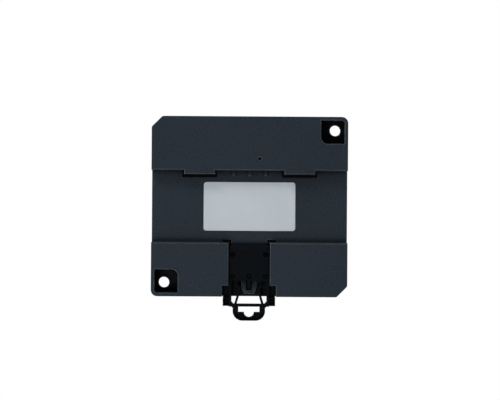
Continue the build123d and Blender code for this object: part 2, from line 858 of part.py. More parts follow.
# Screws that hold the main board on its bosses
with BuildPart() as board_screws:
    with BuildSketch(at_depth(parting_depth - screw_length)):
        with Locations(*boss_places):
            Circle(screw_radius)
    extrude(amount=screw_length)
    with BuildSketch(at_depth(parting_depth)):
        with Locations(*boss_places):
            Circle(screw_head_radius)
    extrude(amount=screw_head_height)
    head_rims = board_screws.edges().filter_by(GeomType.CIRCLE).group_by(Axis.Y)[0]
    fillet(head_rims, screw_head_height / 2)
board_screws.part.label = "board_screws"
export_step(board_screws.part, "parts/board_screws.step")

# Logic board below the deck
with BuildPart() as logic_board:
    with BuildSketch(at_depth(logic_depth)):
        with Locations((0, (logic_low + logic_high) / 2)):
            RectangleRounded(2 * logic_half_width, logic_high - logic_low, logic_corner_radius)
        with Locations(*spacer_places):
            Circle(board_hole_radius, mode=Mode.SUBTRACT)
    extrude(amount=board_thickness)
logic_board.part.label = "logic_board"
export_step(logic_board.part, "parts/logic_board.step")

# Spacers between the boards, with a neck through each board and a snap head beyond it
with BuildPart() as board_spacers:
    with BuildSketch(at_depth(board_back - spacer_head_height)):
        with Locations(*spacer_places):
            Circle(spacer_neck_radius)
    extrude(amount=logic_front - board_back + 2 * spacer_head_height)
    with BuildSketch(at_depth(parting_depth)):
        with Locations(*spacer_places):
            RegularPolygon(spacer_radius, 6)
    extrude(amount=logic_depth - parting_depth)
    for head_depth in (board_back - spacer_head_height, logic_front):
        with BuildSketch(at_depth(head_depth)):
            with Locations(*spacer_places):
                Circle(spacer_head_radius)
        extrude(amount=spacer_head_height)
board_spacers.part.label = "board_spacers"
export_step(board_spacers.part, "parts/board_spacers.step")

# Pin header that joins the boards
with BuildPart() as header_base:
    with BuildSketch(at_depth(parting_depth)):
        with Locations((header_x, header_z)):
            Rectangle(header_pin_count * header_pitch, header_height)
            with GridLocations(header_pitch, 0, header_pin_count, 1):
                Rectangle(header_pin_size, header_pin_size, mode=Mode.SUBTRACT)
    extrude(amount=header_base_depth)
header_base.part.label = "header_base"
export_step(header_base.part, "parts/header_base.step")

with BuildPart() as header_pins:
    with BuildSketch(at_depth(parting_depth)):
        with Locations((header_x, header_z)):
            with GridLocations(header_pitch, 0, header_pin_count, 1):
                Rectangle(header_pin_size, header_pin_size)
    extrude(amount=logic_depth - header_socket_depth + header_pin_engagement - parting_depth)
header_pins.part.label = "header_pins"
export_step(header_pins.part, "parts/header_pins.step")

with BuildPart() as header_socket:
    with BuildSketch(at_depth(logic_depth - header_socket_depth)):
        with Locations((header_x, header_z)):
            Rectangle(header_pin_count * header_pitch, header_height)
            with GridLocations(header_pitch, 0, header_pin_count, 1):
                hole_size = header_pin_size + 2 * header_hole_gap
                Rectangle(hole_size, hole_size, mode=Mode.SUBTRACT)
    extrude(amount=header_socket_depth)
header_socket.part.label = "header_socket"
export_step(header_socket.part, "parts/header_socket.step")

# Transformer: two-window core round the bobbin, with the winding between the flanges
core_back = parting_depth + core_lift
core_depth = logic_depth - core_top_gap - core_back
core_mid_depth = core_back + core_depth / 2
window_depth = core_depth - 2 * core_leg
bobbin_half = core_width / 2 - core_leg - bobbin_gap
bobbin_depth = window_depth - 2 * bobbin_gap
bobbin_back = core_back + core_leg + bobbin_gap
tube_outer = core_middle_leg + 2 * (bobbin_gap + bobbin_wall)
tube_outer_z = core_thickness + 2 * (bobbin_gap + bobbin_wall)
flange_z = core_thickness + 2 * bobbin_overhang

with BuildPart() as transformer_core:
    with BuildSketch(Plane.XY.offset(transformer_z)):
        with Locations((transformer_x, -core_mid_depth)):
            Rectangle(core_width, core_depth)
            window_x = (core_width - 2 * core_leg - core_middle_leg) / 2
            with GridLocations(core_middle_leg + window_x, 0, 2, 1):
                Rectangle(window_x, window_depth, mode=Mode.SUBTRACT)
    extrude(amount=core_thickness / 2, both=True)
transformer_core.part.label = "transformer_core"
export_step(transformer_core.part, "parts/transformer_core.step")

with BuildPart() as transformer_bobbin:
    with BuildSketch(at_depth(bobbin_back)):
        with Locations((transformer_x, transformer_z)):
            Rectangle(tube_outer, tube_outer_z)
    extrude(amount=bobbin_depth)
    for flange_depth in (bobbin_back, bobbin_back + bobbin_depth - bobbin_wall):
        with BuildSketch(at_depth(flange_depth)):
            with Locations((transformer_x, transformer_z)):
                Rectangle(2 * bobbin_half, flange_z)
        extrude(amount=bobbin_wall)
    with BuildSketch(at_depth(bobbin_back)):
        with Locations((transformer_x, transformer_z)):
            Rectangle(core_middle_leg + 2 * bobbin_gap, core_thickness + 2 * bobbin_gap)
    extrude(amount=bobbin_depth, mode=Mode.SUBTRACT)
    with BuildSketch(at_depth(parting_depth)):
        with Locations((transformer_x, transformer_z)):
            with GridLocations(0, flange_z - bobbin_foot, 1, 2):
                Rectangle(2 * bobbin_half, bobbin_foot)
    extrude(amount=bobbin_back - parting_depth)
transformer_bobbin.part.label = "transformer_bobbin"
export_step(transformer_bobbin.part, "parts/transformer_bobbin.step")

with BuildPart() as transformer_winding:
    with BuildSketch(at_depth(bobbin_back + bobbin_wall)):
        with Locations((transformer_x, transformer_z)):
            RectangleRounded(2 * (bobbin_half - winding_setback), flange_z - 2 * winding_setback,
                             winding_radius)
            Rectangle(tube_outer, tube_outer_z, mode=Mode.SUBTRACT)
    extrude(amount=bobbin_depth - 2 * bobbin_wall)
transformer_winding.part.label = "transformer_winding"
export_step(transformer_winding.part, "parts/transformer_winding.step")


def capacitor_cans(places, radius, height):
    # Electrolytic cans standing on the main board, each with a rounded top and a crimp near its foot
    with BuildPart() as cans:
        with BuildSketch(at_depth(parting_depth)):
            with Locations(*places):
                Circle(radius)
        extrude(amount=height)
        fillet(cans.edges().filter_by(GeomType.CIRCLE).group_by(Axis.Y)[0], capacitor_crimp)
        with BuildSketch(at_depth(parting_depth + 3 * capacitor_crimp)):
            with Locations(*places):
                Circle(radius)
                Circle(radius - capacitor_crimp, mode=Mode.SUBTRACT)
        extrude(amount=2 * capacitor_crimp, mode=Mode.SUBTRACT)
    return cans


bulk_capacitors = capacitor_cans(capacitor_places, capacitor_radius, capacitor_height)
bulk_capacitors.part.label = "bulk_capacitors"
export_step(bulk_capacitors.part, "parts/bulk_capacitors.step")

output_capacitor = capacitor_cans([output_capacitor_place], output_capacitor_radius, output_capacitor_height)
output_capacitor.part.label = "output_capacitor"
export_step(output_capacitor.part, "parts/output_capacitor.step")

# Fuse lying on the main board, with a cap at each end
fuse_depth = parting_depth + fuse_lift + fuse_cap_radius
with BuildPart() as fuse:
    with BuildSketch(Plane.YZ.offset(fuse_place[0])):
        with Locations((-fuse_depth, fuse_place[1])):
            Circle(fuse_radius)
    extrude(amount=fuse_length / 2, both=True)
    for side in (-1, 1):
        with BuildSketch(Plane.YZ.offset(fuse_place[0] + side * fuse_length / 2)):
            with Locations((-fuse_depth, fuse_place[1])):
                Circle(fuse_cap_radius)
        extrude(amount=-side * fuse_cap_length)
fuse.part.label = "fuse"
export_step(fuse.part, "parts/fuse.step")

# Surge varistor standing on its two leads
with BuildPart() as varistor:
    with BuildSketch(Plane.YZ.offset(varistor_place[0])):
        with Locations((-parting_depth - varistor_lift - varistor_radius, varistor_place[1])):
            Circle(varistor_radius)
    extrude(amount=varistor_thickness / 2, both=True)
    fillet(varistor.edges().filter_by(GeomType.CIRCLE), varistor_edge_radius)
    with BuildSketch(at_depth(parting_depth)):
        with Locations(varistor_place):
            with GridLocations(0, varistor_lead_pitch, 1, 2):
                Circle(varistor_lead_radius)
    extrude(amount=varistor_lift + varistor_radius)
varistor.part.label = "varistor"
export_step(varistor.part, "parts/varistor.step")

# Bridge rectifier with its four leads
with BuildPart() as bridge_rectifier:
    with BuildSketch(at_depth(parting_depth)):
        with Locations(rectifier_place):
            Rectangle(rectifier_width, rectifier_height)
    extrude(amount=rectifier_depth)
    with BuildSketch(at_depth(parting_depth)):
        with Locations(rectifier_place):
            with GridLocations(0, rectifier_lead_pitch, 1, 2):
                Rectangle(rectifier_width + 2 * rectifier_lead_reach, rectifier_lead_width)
    extrude(amount=rectifier_lead_thickness)
bridge_rectifier.part.label = "bridge_rectifier"
export_step(bridge_rectifier.part, "parts/bridge_rectifier.step")

# Metering chip with pins along two sides
with BuildPart() as metering_chip:
    with BuildSketch(at_depth(parting_depth)):
        with Locations(metering_place):
            Rectangle(metering_width, metering_height)
    extrude(amount=metering_depth)
    with BuildSketch(at_depth(parting_depth)):
        with Locations(metering_place):
            with GridLocations(0, metering_pin_pitch, 1, metering_pin_count):
                Rectangle(metering_width + 2 * metering_pin_reach, metering_pin_width)
    extrude(amount=metering_pin_thickness)
metering_chip.part.label = "metering_chip"
export_step(metering_chip.part, "parts/metering_chip.step")

# Header for the voltage plug, a shrouded socket open to the top
plug_half = bay_half - bay_gap
plug_top = case_height / 2 - plug_top_gap
plug_low = plug_top - plug_length
plug_back = parting_depth + plug_back_gap
plug_front = shoulder_depth - plug_front_gap
header_low = header_top - header_length
header_mid_depth = parting_depth + header_depth / 2
cavity_low = header_low + header_wall

with BuildPart() as voltage_header:
    with BuildSketch(at_depth(parting_depth)):
        rectangle_between(plug_x - plug_half, plug_x + plug_half, header_low, header_top)
    extrude(amount=header_depth)
    with BuildSketch(at_depth(parting_depth + header_wall)):
        rectangle_between(plug_x - plug_half + header_wall, plug_x + plug_half - header_wall, cavity_low,
                          header_top + overrun)
    extrude(amount=header_depth - 2 * header_wall, mode=Mode.SUBTRACT)
    with BuildSketch(Plane.XY.offset(header_low - overrun)):
        with Locations((plug_x, -header_mid_depth)):
            with GridLocations(pole_pitch, 0, pole_count, 1):
                Rectangle(pin_size, pin_size)
    extrude(amount=header_wall + 2 * overrun, mode=Mode.SUBTRACT)
voltage_header.part.label = "voltage_header"
export_step(voltage_header.part, "parts/voltage_header.step")

# Bent pins of the header
tail_low = header_low - pin_tail_gap - pin_size
with BuildPart() as voltage_pins:
    for place in pole_places:
        with BuildSketch(Plane.YZ.offset(place)):
            pin_front = header_mid_depth + pin_size / 2
            rectangle_between(-pin_front, pin_size - pin_front, tail_low, cavity_low + pin_reach)
            rectangle_between(-pin_front, -parting_depth, tail_low, tail_low + pin_size)
        extrude(amount=pin_size / 2, both=True)
voltage_pins.part.label = "voltage_pins"
export_step(voltage_pins.part, "parts/voltage_pins.step")

# Resistors that divide the mains voltage down for metering
with BuildPart() as divider_resistors:
    with BuildSketch(at_depth(parting_depth)):
        with Locations((resistor_x, header_low - resistor_drop)):
            with GridLocations(resistor_pitch_x, resistor_pitch_z, resistor_columns, resistor_rows):
                Rectangle(resistor_width, resistor_height)
    extrude(amount=resistor_depth)
divider_resistors.part.label = "divider_resistors"
export_step(divider_resistors.part, "parts/divider_resistors.step")

# Places of the clamps inside the plug
nose_half = plug_half - header_wall - nose_gap
nose_low = cavity_low + nose_tip_gap
nose_back = parting_depth + header_wall + nose_gap
nose_depth = header_depth - 2 * (header_wall + nose_gap)
seat_depth = plug_front - clamp_well
chamber_front = seat_depth - clamp_shelf
cage_back = chamber_front - cage_front_gap - cage_travel - cage_depth
chamber_back = cage_back - cage_back_gap
chamber_low = plug_low + chamber_setback
chamber_width = cage_width + 2 * cage_side_gap
chamber_length = cage_length + 2 * cage_end_gap
cage_low = chamber_low + cage_end_gap
cage_mid_z = cage_low + cage_length / 2
window_back = cage_back + cage_wall
window_front = cage_back + cage_depth - cage_wall
bar_front = window_front - contact_window_gap
bar_back = bar_front - contact_thickness
jaw_back = header_mid_depth - contact_jaw_depth / 2
jaw_front = header_mid_depth + contact_jaw_depth / 2
contact_low = nose_low + contact_tip_gap
contact_turn = chamber_low - contact_thickness

# Voltage plug: a body with four clamp chambers, and a nose that enters the header
with BuildPart() as voltage_plug:
    with BuildSketch(at_depth(plug_back)):
        rectangle_between(plug_x - plug_half, plug_x + plug_half, plug_low, plug_top)
    extrude(amount=plug_front - plug_back)
    fillet(voltage_plug.faces().sort_by(Axis.Y)[0].edges(), plug_edge_radius)
    with BuildSketch(at_depth(nose_back)):
        rectangle_between(plug_x - nose_half, plug_x + nose_half, nose_low, plug_low)
    extrude(amount=nose_depth)

    # Chambers for the cages, entries for the wires and wells for the screw heads
    with BuildSketch(at_depth(chamber_back)):
        with Locations((plug_x, cage_mid_z)):
            with GridLocations(pole_pitch, 0, pole_count, 1):
                Rectangle(chamber_width, chamber_length)
    extrude(amount=chamber_front - chamber_back, mode=Mode.SUBTRACT)
    with BuildSketch(Plane.XY.offset(cage_mid_z)):
        with Locations((plug_x, -(window_back + bar_back) / 2)):
            with GridLocations(pole_pitch, 0, pole_count, 1):
                Rectangle(cage_width - 2 * cage_wall, bar_back - window_back)
    extrude(amount=plug_length, mode=Mode.SUBTRACT)
    with BuildSketch(at_depth(chamber_front - overrun)):
        with Locations((plug_x, cage_mid_z)):
            with GridLocations(pole_pitch, 0, pole_count, 1):
                Circle(clamp_screw_radius + clamp_screw_gap)
    extrude(amount=clamp_shelf + 2 * overrun, mode=Mode.SUBTRACT)
    with BuildSketch(at_depth(seat_depth)):
        with Locations((plug_x, cage_mid_z)):
            with GridLocations(pole_pitch, 0, pole_count, 1):
                Circle(clamp_head_radius + clamp_head_gap)
    extrude(amount=plug_front, mode=Mode.SUBTRACT)

    # Ways for the contacts, from the tip of the nose into the chambers
    for place in pole_places:
        with BuildSketch(Plane.YZ.offset(place)):
            way_back = -jaw_back + contact_gap
            rectangle_between(-jaw_front - contact_gap, way_back, nose_low - overrun, chamber_low)
            rectangle_between(-bar_front - contact_gap, way_back, contact_turn - contact_gap, chamber_low)
        extrude(amount=contact_width / 2 + contact_gap, both=True, mode=Mode.SUBTRACT)
voltage_plug.part.label = "voltage_plug"
export_step(voltage_plug.part, "parts/voltage_plug.step")

# Contacts of the plug, each with jaws round its pin and a bar through its cage
with BuildPart() as plug_contacts:
    for place in pole_places:
        with BuildSketch(Plane.YZ.offset(place)):
            rectangle_between(-jaw_front, -jaw_back, contact_low, chamber_low)
            rectangle_between(-bar_front, -jaw_back, contact_turn, chamber_low)
            rectangle_between(-bar_front, -bar_back, contact_turn, contact_turn + contact_bar_length)
        extrude(amount=contact_width / 2, both=True)
        with BuildSketch(Plane.XY.offset(contact_low - overrun)):
            with Locations((place, -header_mid_depth)):
                Rectangle(pin_size + 2 * contact_jaw_gap, pin_size + 2 * contact_jaw_gap)
        extrude(amount=contact_turn - contact_low + overrun, mode=Mode.SUBTRACT)
plug_contacts.part.label = "plug_contacts"
export_step(plug_contacts.part, "parts/plug_contacts.step")

# Clamp screws and the cages that they lift
for number, place in enumerate(pole_places, start=1):
    with BuildPart() as terminal_screw:
        with BuildSketch(at_depth(bar_front + clamp_tip_gap)):
            with Locations((place, cage_mid_z)):
                Circle(clamp_screw_radius)
        extrude(amount=seat_depth + clamp_seat_gap - bar_front - clamp_tip_gap)
        with BuildSketch(at_depth(seat_depth + clamp_seat_gap)):
            with Locations((place, cage_mid_z)):
                Circle(clamp_head_radius)
        extrude(amount=clamp_head_height)
        with BuildSketch(at_depth(seat_depth + clamp_seat_gap + clamp_head_height - clamp_slot_depth)):
            with Locations((place, cage_mid_z)):
                Rectangle(2 * clamp_head_radius + overrun, clamp_slot_width)
        extrude(amount=clamp_slot_depth + overrun, mode=Mode.SUBTRACT)
    terminal_screw.part.label = f"terminal_screw_{number}"
    export_step(terminal_screw.part, f"parts/terminal_screw_{number}.step")

    with BuildPart() as terminal_cage:
        with BuildSketch(at_depth(cage_back)):
            with Locations((place, cage_mid_z)):
                Rectangle(cage_width, cage_length)
        extrude(amount=cage_depth)
        with BuildSketch(at_depth(window_back)):
            with Locations((place, cage_mid_z)):
                Rectangle(cage_width - 2 * cage_wall, cage_length + overrun)
        extrude(amount=window_front - window_back, mode=Mode.SUBTRACT)
        with BuildSketch(at_depth(window_front - overrun)):
            with Locations((place, cage_mid_z)):
                Circle(clamp_screw_radius + clamp_screw_gap)
        extrude(amount=cage_wall + 2 * overrun, mode=Mode.SUBTRACT)
    terminal_cage.part.label = f"terminal_cage_{number}"
    export_step(terminal_cage.part, f"parts/terminal_cage_{number}.step")

# Jacks for the current transformers, each with a keyed cavity open to the bottom
jack_face = base_z + jack_setback
jack_cavity_back = parting_depth + jack_cavity_rise
jack_cavity_front = jack_cavity_back + jack_cavity_depth
for number, place in enumerate(jack_places, start=1):
    with BuildPart() as current_jack:
        with BuildSketch(Plane.XY.offset(jack_face)):
            rectangle_between(place - jack_width / 2, place + jack_width / 2, -jack_front, -parting_depth)
        extrude(amount=jack_length)
        with BuildSketch(Plane.XY.offset(jack_face)):
            half = jack_cavity_width / 2
            rectangle_between(place - half, place + half, -jack_cavity_front, -jack_cavity_back)
            with Locations((place, -jack_cavity_front)):
                Rectangle(jack_key_width, 2 * jack_key_depth)
                Rectangle(jack_latch_width, 2 * (jack_key_depth + jack_latch_depth))
        extrude(amount=jack_cavity_length, mode=Mode.SUBTRACT)
    current_jack.part.label = f"current_jack_{number}"
    export_step(current_jack.part, f"parts/current_jack_{number}.step")

# Contact wires that slope up from the floor of each jack to its rear wall
wire_rear = jack_face + jack_cavity_length
wire_foot = wire_rear - jack_contact_length
wire_profile = [
    (-jack_cavity_back, wire_foot),
    (-jack_cavity_back - jack_contact_rise, wire_rear),
    (-jack_cavity_back - jack_contact_rise - jack_contact_thickness, wire_rear),
    (-jack_cavity_back - jack_contact_thickness, wire_foot),
]
with BuildPart() as jack_contacts:
    for place in jack_places:
        for i in range(jack_contact_count):
            wire_x = place + (i - (jack_contact_count - 1) / 2) * jack_contact_pitch
            with BuildSketch(Plane.YZ.offset(wire_x)):
                Polygon(*wire_profile, align=None)
            extrude(amount=jack_contact_width / 2, both=True)
jack_contacts.part.label = "jack_contacts"
export_step(jack_contacts.part, "parts/jack_contacts.step")

# Power socket: a rounded metal shell closed at the rear, with a tongue inside
usb_mid_depth = parting_depth + usb_depth / 2
with BuildPart() as usb_socket:
    with BuildSketch(Plane.XY.offset(jack_face)):
        with Locations((usb_x, -usb_mid_depth)):
            SlotOverall(usb_width, usb_depth)
    extrude(amount=usb_length)
    with BuildSketch(Plane.XY.offset(jack_face)):
        with Locations((usb_x, -usb_mid_depth)):
            SlotOverall(usb_width - 2 * usb_wall, usb_depth - 2 * usb_wall)
    extrude(amount=usb_length - usb_rear_length, mode=Mode.SUBTRACT)
usb_socket.part.label = "usb_socket"
export_step(usb_socket.part, "parts/usb_socket.step")

with BuildPart() as usb_tongue:
    with BuildSketch(Plane.XY.offset(jack_face + usb_tongue_setback)):
        with Locations((usb_x, -usb_mid_depth)):
            Rectangle(usb_tongue_width, usb_tongue_thickness)
    extrude(amount=usb_length - usb_rear_length - usb_tongue_setback)
usb_tongue.part.label = "usb_tongue"
export_step(usb_tongue.part, "parts/usb_tongue.step")

# Radio module with its shield and antenna
radio_front = logic_front + radio_board_thickness
radio_top = radio_z + radio_height / 2
with BuildPart() as radio_module:
    with BuildSketch(at_depth(logic_front)):
        with Locations((radio_x, radio_z)):
            Rectangle(radio_width, radio_height)
    extrude(amount=radio_board_thickness)
radio_module.part.label = "radio_module"
export_step(radio_module.part, "parts/radio_module.step")

with BuildPart() as radio_shield:
    with BuildSketch(at_depth(radio_front)):
        shield_low = radio_z - radio_height / 2 + shield_inset
        rectangle_between(radio_x - radio_width / 2 + shield_inset, radio_x + radio_width / 2 - shield_inset,
                          shield_low, shield_low + shield_height)
    extrude(amount=shield_depth)
    shell_edges = radio_shield.edges().filter_by(Axis.Y)
    fillet(shell_edges, shield_inset)
    offset(amount=-shield_wall, openings=radio_shield.faces().sort_by(Axis.Y)[-1])
radio_shield.part.label = "radio_shield"
export_step(radio_shield.part, "parts/radio_shield.step")

with BuildPart() as antenna:
    with BuildSketch(at_depth(radio_front)):
        antenna_low = radio_top - antenna_edge_gap - antenna_turn_height
        antenna_left = radio_x - (2 * antenna_turn_count - 1) * antenna_turn_pitch / 4
        with BuildLine():
            turns = []
            for i in range(antenna_turn_count):
                left = antenna_left + i * antenna_turn_pitch
                right = left + antenna_turn_pitch / 2
                turns += [(left, antenna_low), (left, antenna_low + antenna_turn_height)]
                turns += [(right, antenna_low + antenna_turn_height), (right, antenna_low)]
            Polyline(turns)
        trace(line_width=antenna_track)
    extrude(amount=antenna_thickness)
antenna.part.label = "antenna"
export_step(antenna.part, "parts/antenna.step")

# Status lights and the pipes that bring them through the deck
with BuildPart() as status_leds:
    with BuildSketch(at_depth(logic_front)):
        with Locations(*light_places):
            Rectangle(led_width, led_height)
    extrude(amount=led_depth)
status_leds.part.label = "status_leds"
export_step(status_leds.part, "parts/status_leds.step")

pipe_back = logic_front + led_depth + pipe_led_gap
with BuildPart() as light_pipes:
    with BuildSketch(at_depth(pipe_back)):
        with Locations(*light_places):
            Circle(pipe_radius)
    extrude(amount=case_depth + pipe_proud - pipe_back)
    with BuildSketch(at_depth(deck_inside - pipe_flange_thickness)):
        with Locations(*light_places):
            Circle(pipe_flange_radius)
    extrude(amount=pipe_flange_thickness)
    fillet(light_pipes.edges().filter_by(GeomType.CIRCLE).group_by(Axis.Y)[0], pipe_proud)
light_pipes.part.label = "light_pipes"
export_step(light_pipes.part, "parts/light_pipes.step")

# Set button, retained by its flange under the deck
flange_front = deck_inside - button_flange_gap
flange_back = flange_front - button_flange_thickness
with BuildPart() as set_button:
    with BuildSketch(at_depth(flange_back)):
        with Locations(button_place):
            Circle(button_flange_radius)
    extrude(amount=button_flange_thickness)
    with BuildSketch(at_depth(flange_back)):
        with Locations(button_place):
            Circle(button_radius)
    extrude(amount=case_depth + button_proud - flange_back)
    fillet(set_button.faces().sort_by(Axis.Y)[0].edges(), button_edge_radius)
set_button.part.label = "set_button"
export_step(set_button.part, "parts/set_button.step")

# Switch below the button, and its plunger
plunger_back = logic_front + switch_depth - switch_plunger_sink
with BuildPart() as set_switch:
    with BuildSketch(at_depth(logic_front)):
        with Locations(button_place):
            Rectangle(switch_size, switch_size)
    extrude(amount=switch_depth)
    with BuildSketch(at_depth(plunger_back - button_travel - switch_plunger_gap)):
        with Locations(button_place):
            Circle(switch_plunger_radius + switch_plunger_gap)
    extrude(amount=switch_depth, mode=Mode.SUBTRACT)
set_switch.part.label = "set_switch"
export_step(set_switch.part, "parts/set_switch.step")

with BuildPart() as set_plunger:
    with BuildSketch(at_depth(plunger_back)):
        with Locations(button_place):
            Circle(switch_plunger_radius)
    extrude(amount=flange_back - plunger_back)
set_plunger.part.label = "set_plunger"
export_step(set_plunger.part, "parts/set_plunger.step")

# Reset switch behind the pinhole, and its plunger
reset_face = board_back - reset_depth
with BuildPart() as reset_switch:
    with BuildSketch(at_depth(reset_face)):
        with Locations((pinhole_x, pinhole_z)):
            Rectangle(switch_size, switch_size)
    extrude(amount=reset_depth)
    with BuildSketch(at_depth(reset_face - overrun)):
        with Locations((pinhole_x, pinhole_z)):
            Circle(reset_plunger_radius + switch_plunger_gap)
    extrude(amount=overrun + reset_plunger_sink + reset_travel + switch_plunger_gap, mode=Mode.SUBTRACT)
reset_switch.part.label = "reset_switch"
export_step(reset_switch.part, "parts/reset_switch.step")

with BuildPart() as reset_plunger:
    with BuildSketch(at_depth(reset_face - reset_plunger_proud)):
        with Locations((pinhole_x, pinhole_z)):
            Circle(reset_plunger_radius)
    extrude(amount=reset_plunger_proud + reset_plunger_sink)
reset_plunger.part.label = "reset_plunger"
export_step(reset_plunger.part, "parts/reset_plunger.step")
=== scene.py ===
# Energy monitor hub seen from its back: finishes, opened shell, small repeated pieces, light and camera
import math

import bmesh
import bpy
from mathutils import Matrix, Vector


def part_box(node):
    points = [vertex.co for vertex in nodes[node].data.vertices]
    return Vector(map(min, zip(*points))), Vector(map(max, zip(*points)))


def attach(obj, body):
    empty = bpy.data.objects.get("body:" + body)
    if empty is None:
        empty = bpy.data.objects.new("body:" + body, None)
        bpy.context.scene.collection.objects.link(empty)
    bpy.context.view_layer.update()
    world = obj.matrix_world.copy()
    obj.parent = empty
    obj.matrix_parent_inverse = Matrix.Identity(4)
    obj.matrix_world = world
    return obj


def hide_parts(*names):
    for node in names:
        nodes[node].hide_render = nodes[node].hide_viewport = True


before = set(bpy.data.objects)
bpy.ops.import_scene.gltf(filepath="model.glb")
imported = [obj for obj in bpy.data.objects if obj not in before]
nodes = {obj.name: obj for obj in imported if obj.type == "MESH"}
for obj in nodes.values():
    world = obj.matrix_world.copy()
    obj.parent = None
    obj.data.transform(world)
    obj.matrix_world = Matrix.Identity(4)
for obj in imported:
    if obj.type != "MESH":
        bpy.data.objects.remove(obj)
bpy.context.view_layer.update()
print("frame loaded with", len(nodes), "nodes")


# Small helpers for shader trees

usualBand = (0.3, 0.7)  # what a noise's values mostly fill


def startFinish(name):
    finish = bpy.data.materials.new(name)
    finish.use_nodes = True
    tree = finish.node_tree
    return finish, tree, tree.nodes["Principled BSDF"]


def addNode(tree, kind, inputs=None, **settings):
    node = tree.nodes.new(kind)
    for key, value in settings.items():
        setattr(node, key, value)
    for key, value in (inputs or {}).items():
        node.inputs[key].default_value = value
    return node


def objectPlace(tree, stretch=(1, 1, 1)):
    place = addNode(tree, "ShaderNodeTexCoord").outputs["Object"]
    mapping = addNode(tree, "ShaderNodeMapping", {"Scale": stretch})
    tree.links.new(place, mapping.inputs["Vector"])
    return mapping.outputs["Vector"]


def noiseAt(tree, place, perMetre, detail=3.0, rough=0.5):
    sizes = {"Scale": perMetre, "Detail": detail, "Roughness": rough}
    noise = addNode(tree, "ShaderNodeTexNoise", sizes)
    tree.links.new(place, noise.inputs["Vector"])
    return noise.outputs["Fac"]


def doMath(tree, operation, first, second=0.0, clamp=False):
    node = addNode(tree, "ShaderNodeMath", operation=operation, use_clamp=clamp)
    for socket, value in zip(node.inputs, (first, second)):
        if isinstance(value, (int, float)):
            socket.default_value = value
        else:
            tree.links.new(value, socket)
    return node.outputs[0]


def spread(tree, factor, low, high, fromLow=0.0, fromHigh=1.0):
    ends = {"From Min": fromLow, "From Max": fromHigh, "To Min": low, "To Max": high}
    node = addNode(tree, "ShaderNodeMapRange", ends)
    tree.links.new(factor, node.inputs["Value"])
    return node.outputs["Result"]


def mixColour(tree, factor, first, second):
    node = addNode(tree, "ShaderNodeMix", data_type="RGBA")
    sockets = (node.inputs[0], node.inputs[6], node.inputs[7])  # factor and the two colours
    for socket, value in zip(sockets, (factor, first, second)):
        if isinstance(value, (int, float)):
            socket.default_value = value
        elif isinstance(value, tuple):
            socket.default_value = (*value, 1)
        else:
            tree.links.new(value, socket)
    return node.outputs[2]


def splitPlace(tree):
    split = addNode(tree, "ShaderNodeSeparateXYZ")
    tree.links.new(addNode(tree, "ShaderNodeTexCoord").outputs["Object"], split.inputs[0])
    return split.outputs


def splitNormal(tree):
    split = addNode(tree, "ShaderNodeSeparateXYZ")
    tree.links.new(addNode(tree, "ShaderNodeNewGeometry").outputs["Normal"], split.inputs[0])
    return split.outputs


def within(tree, value, low, high):
    # 1 between two places along one axis, 0 elsewhere
    above = doMath(tree, "GREATER_THAN", value, low)
    return doMath(tree, "MULTIPLY", above, doMath(tree, "LESS_THAN", value, high))


def softEdge(tree, radius, samples=6):
    bevel = addNode(tree, "ShaderNodeBevel", {"Radius": radius}, samples=samples)
    return bevel.outputs["Normal"]


def addBump(tree, shader, height, depth, normal, strength=1.0):
    bump = addNode(tree, "ShaderNodeBump", {"Distance": depth, "Strength": strength})
    tree.links.new(height, bump.inputs["Height"])
    tree.links.new(normal, bump.inputs["Normal"])
    tree.links.new(bump.outputs["Normal"], shader.inputs["Normal"])


def roundedEdgeMask(tree, rounded, gain):
    # How far the rounded normal leaves the face's own, so it is above 0 along edges alone
    geometry = addNode(tree, "ShaderNodeNewGeometry")
    dot = addNode(tree, "ShaderNodeVectorMath", operation="DOT_PRODUCT")
    tree.links.new(rounded, dot.inputs[0])
    tree.links.new(geometry.outputs["Normal"], dot.inputs[1])
    apart = doMath(tree, "SUBTRACT", 1.0, dot.outputs["Value"])
    return doMath(tree, "MULTIPLY", apart, gain, clamp=True)


# The rail channel's floor, which is left out of the painted hollow shade and so stays as light as the blocks
# beside it
channelBand = {"low": -0.0185, "high": 0.008, "floor": -0.0058}


def paintedHollowShade(tree, look):
    # Painted shade: the colour falls from 1 in the open towards hollowShade where walls stand close round a
    # face, but not on the rail channel's floor, and how open the face is comes with it
    near = addNode(tree, "ShaderNodeAmbientOcclusion", {"Distance": look["hollowReach"]}, samples=8)
    openness = near.outputs["AO"]
    shade = spread(tree, openness, look["hollowShade"], 1.0, *look["hollowBand"])
    place = splitPlace(tree)
    band = within(tree, place[2], channelBand["low"], channelBand["high"])
    outside = doMath(tree, "GREATER_THAN", place[1], channelBand["floor"])
    channel = doMath(tree, "MULTIPLY", band, outside)
    return doMath(tree, "MAXIMUM", shade, channel), openness


# Finishes

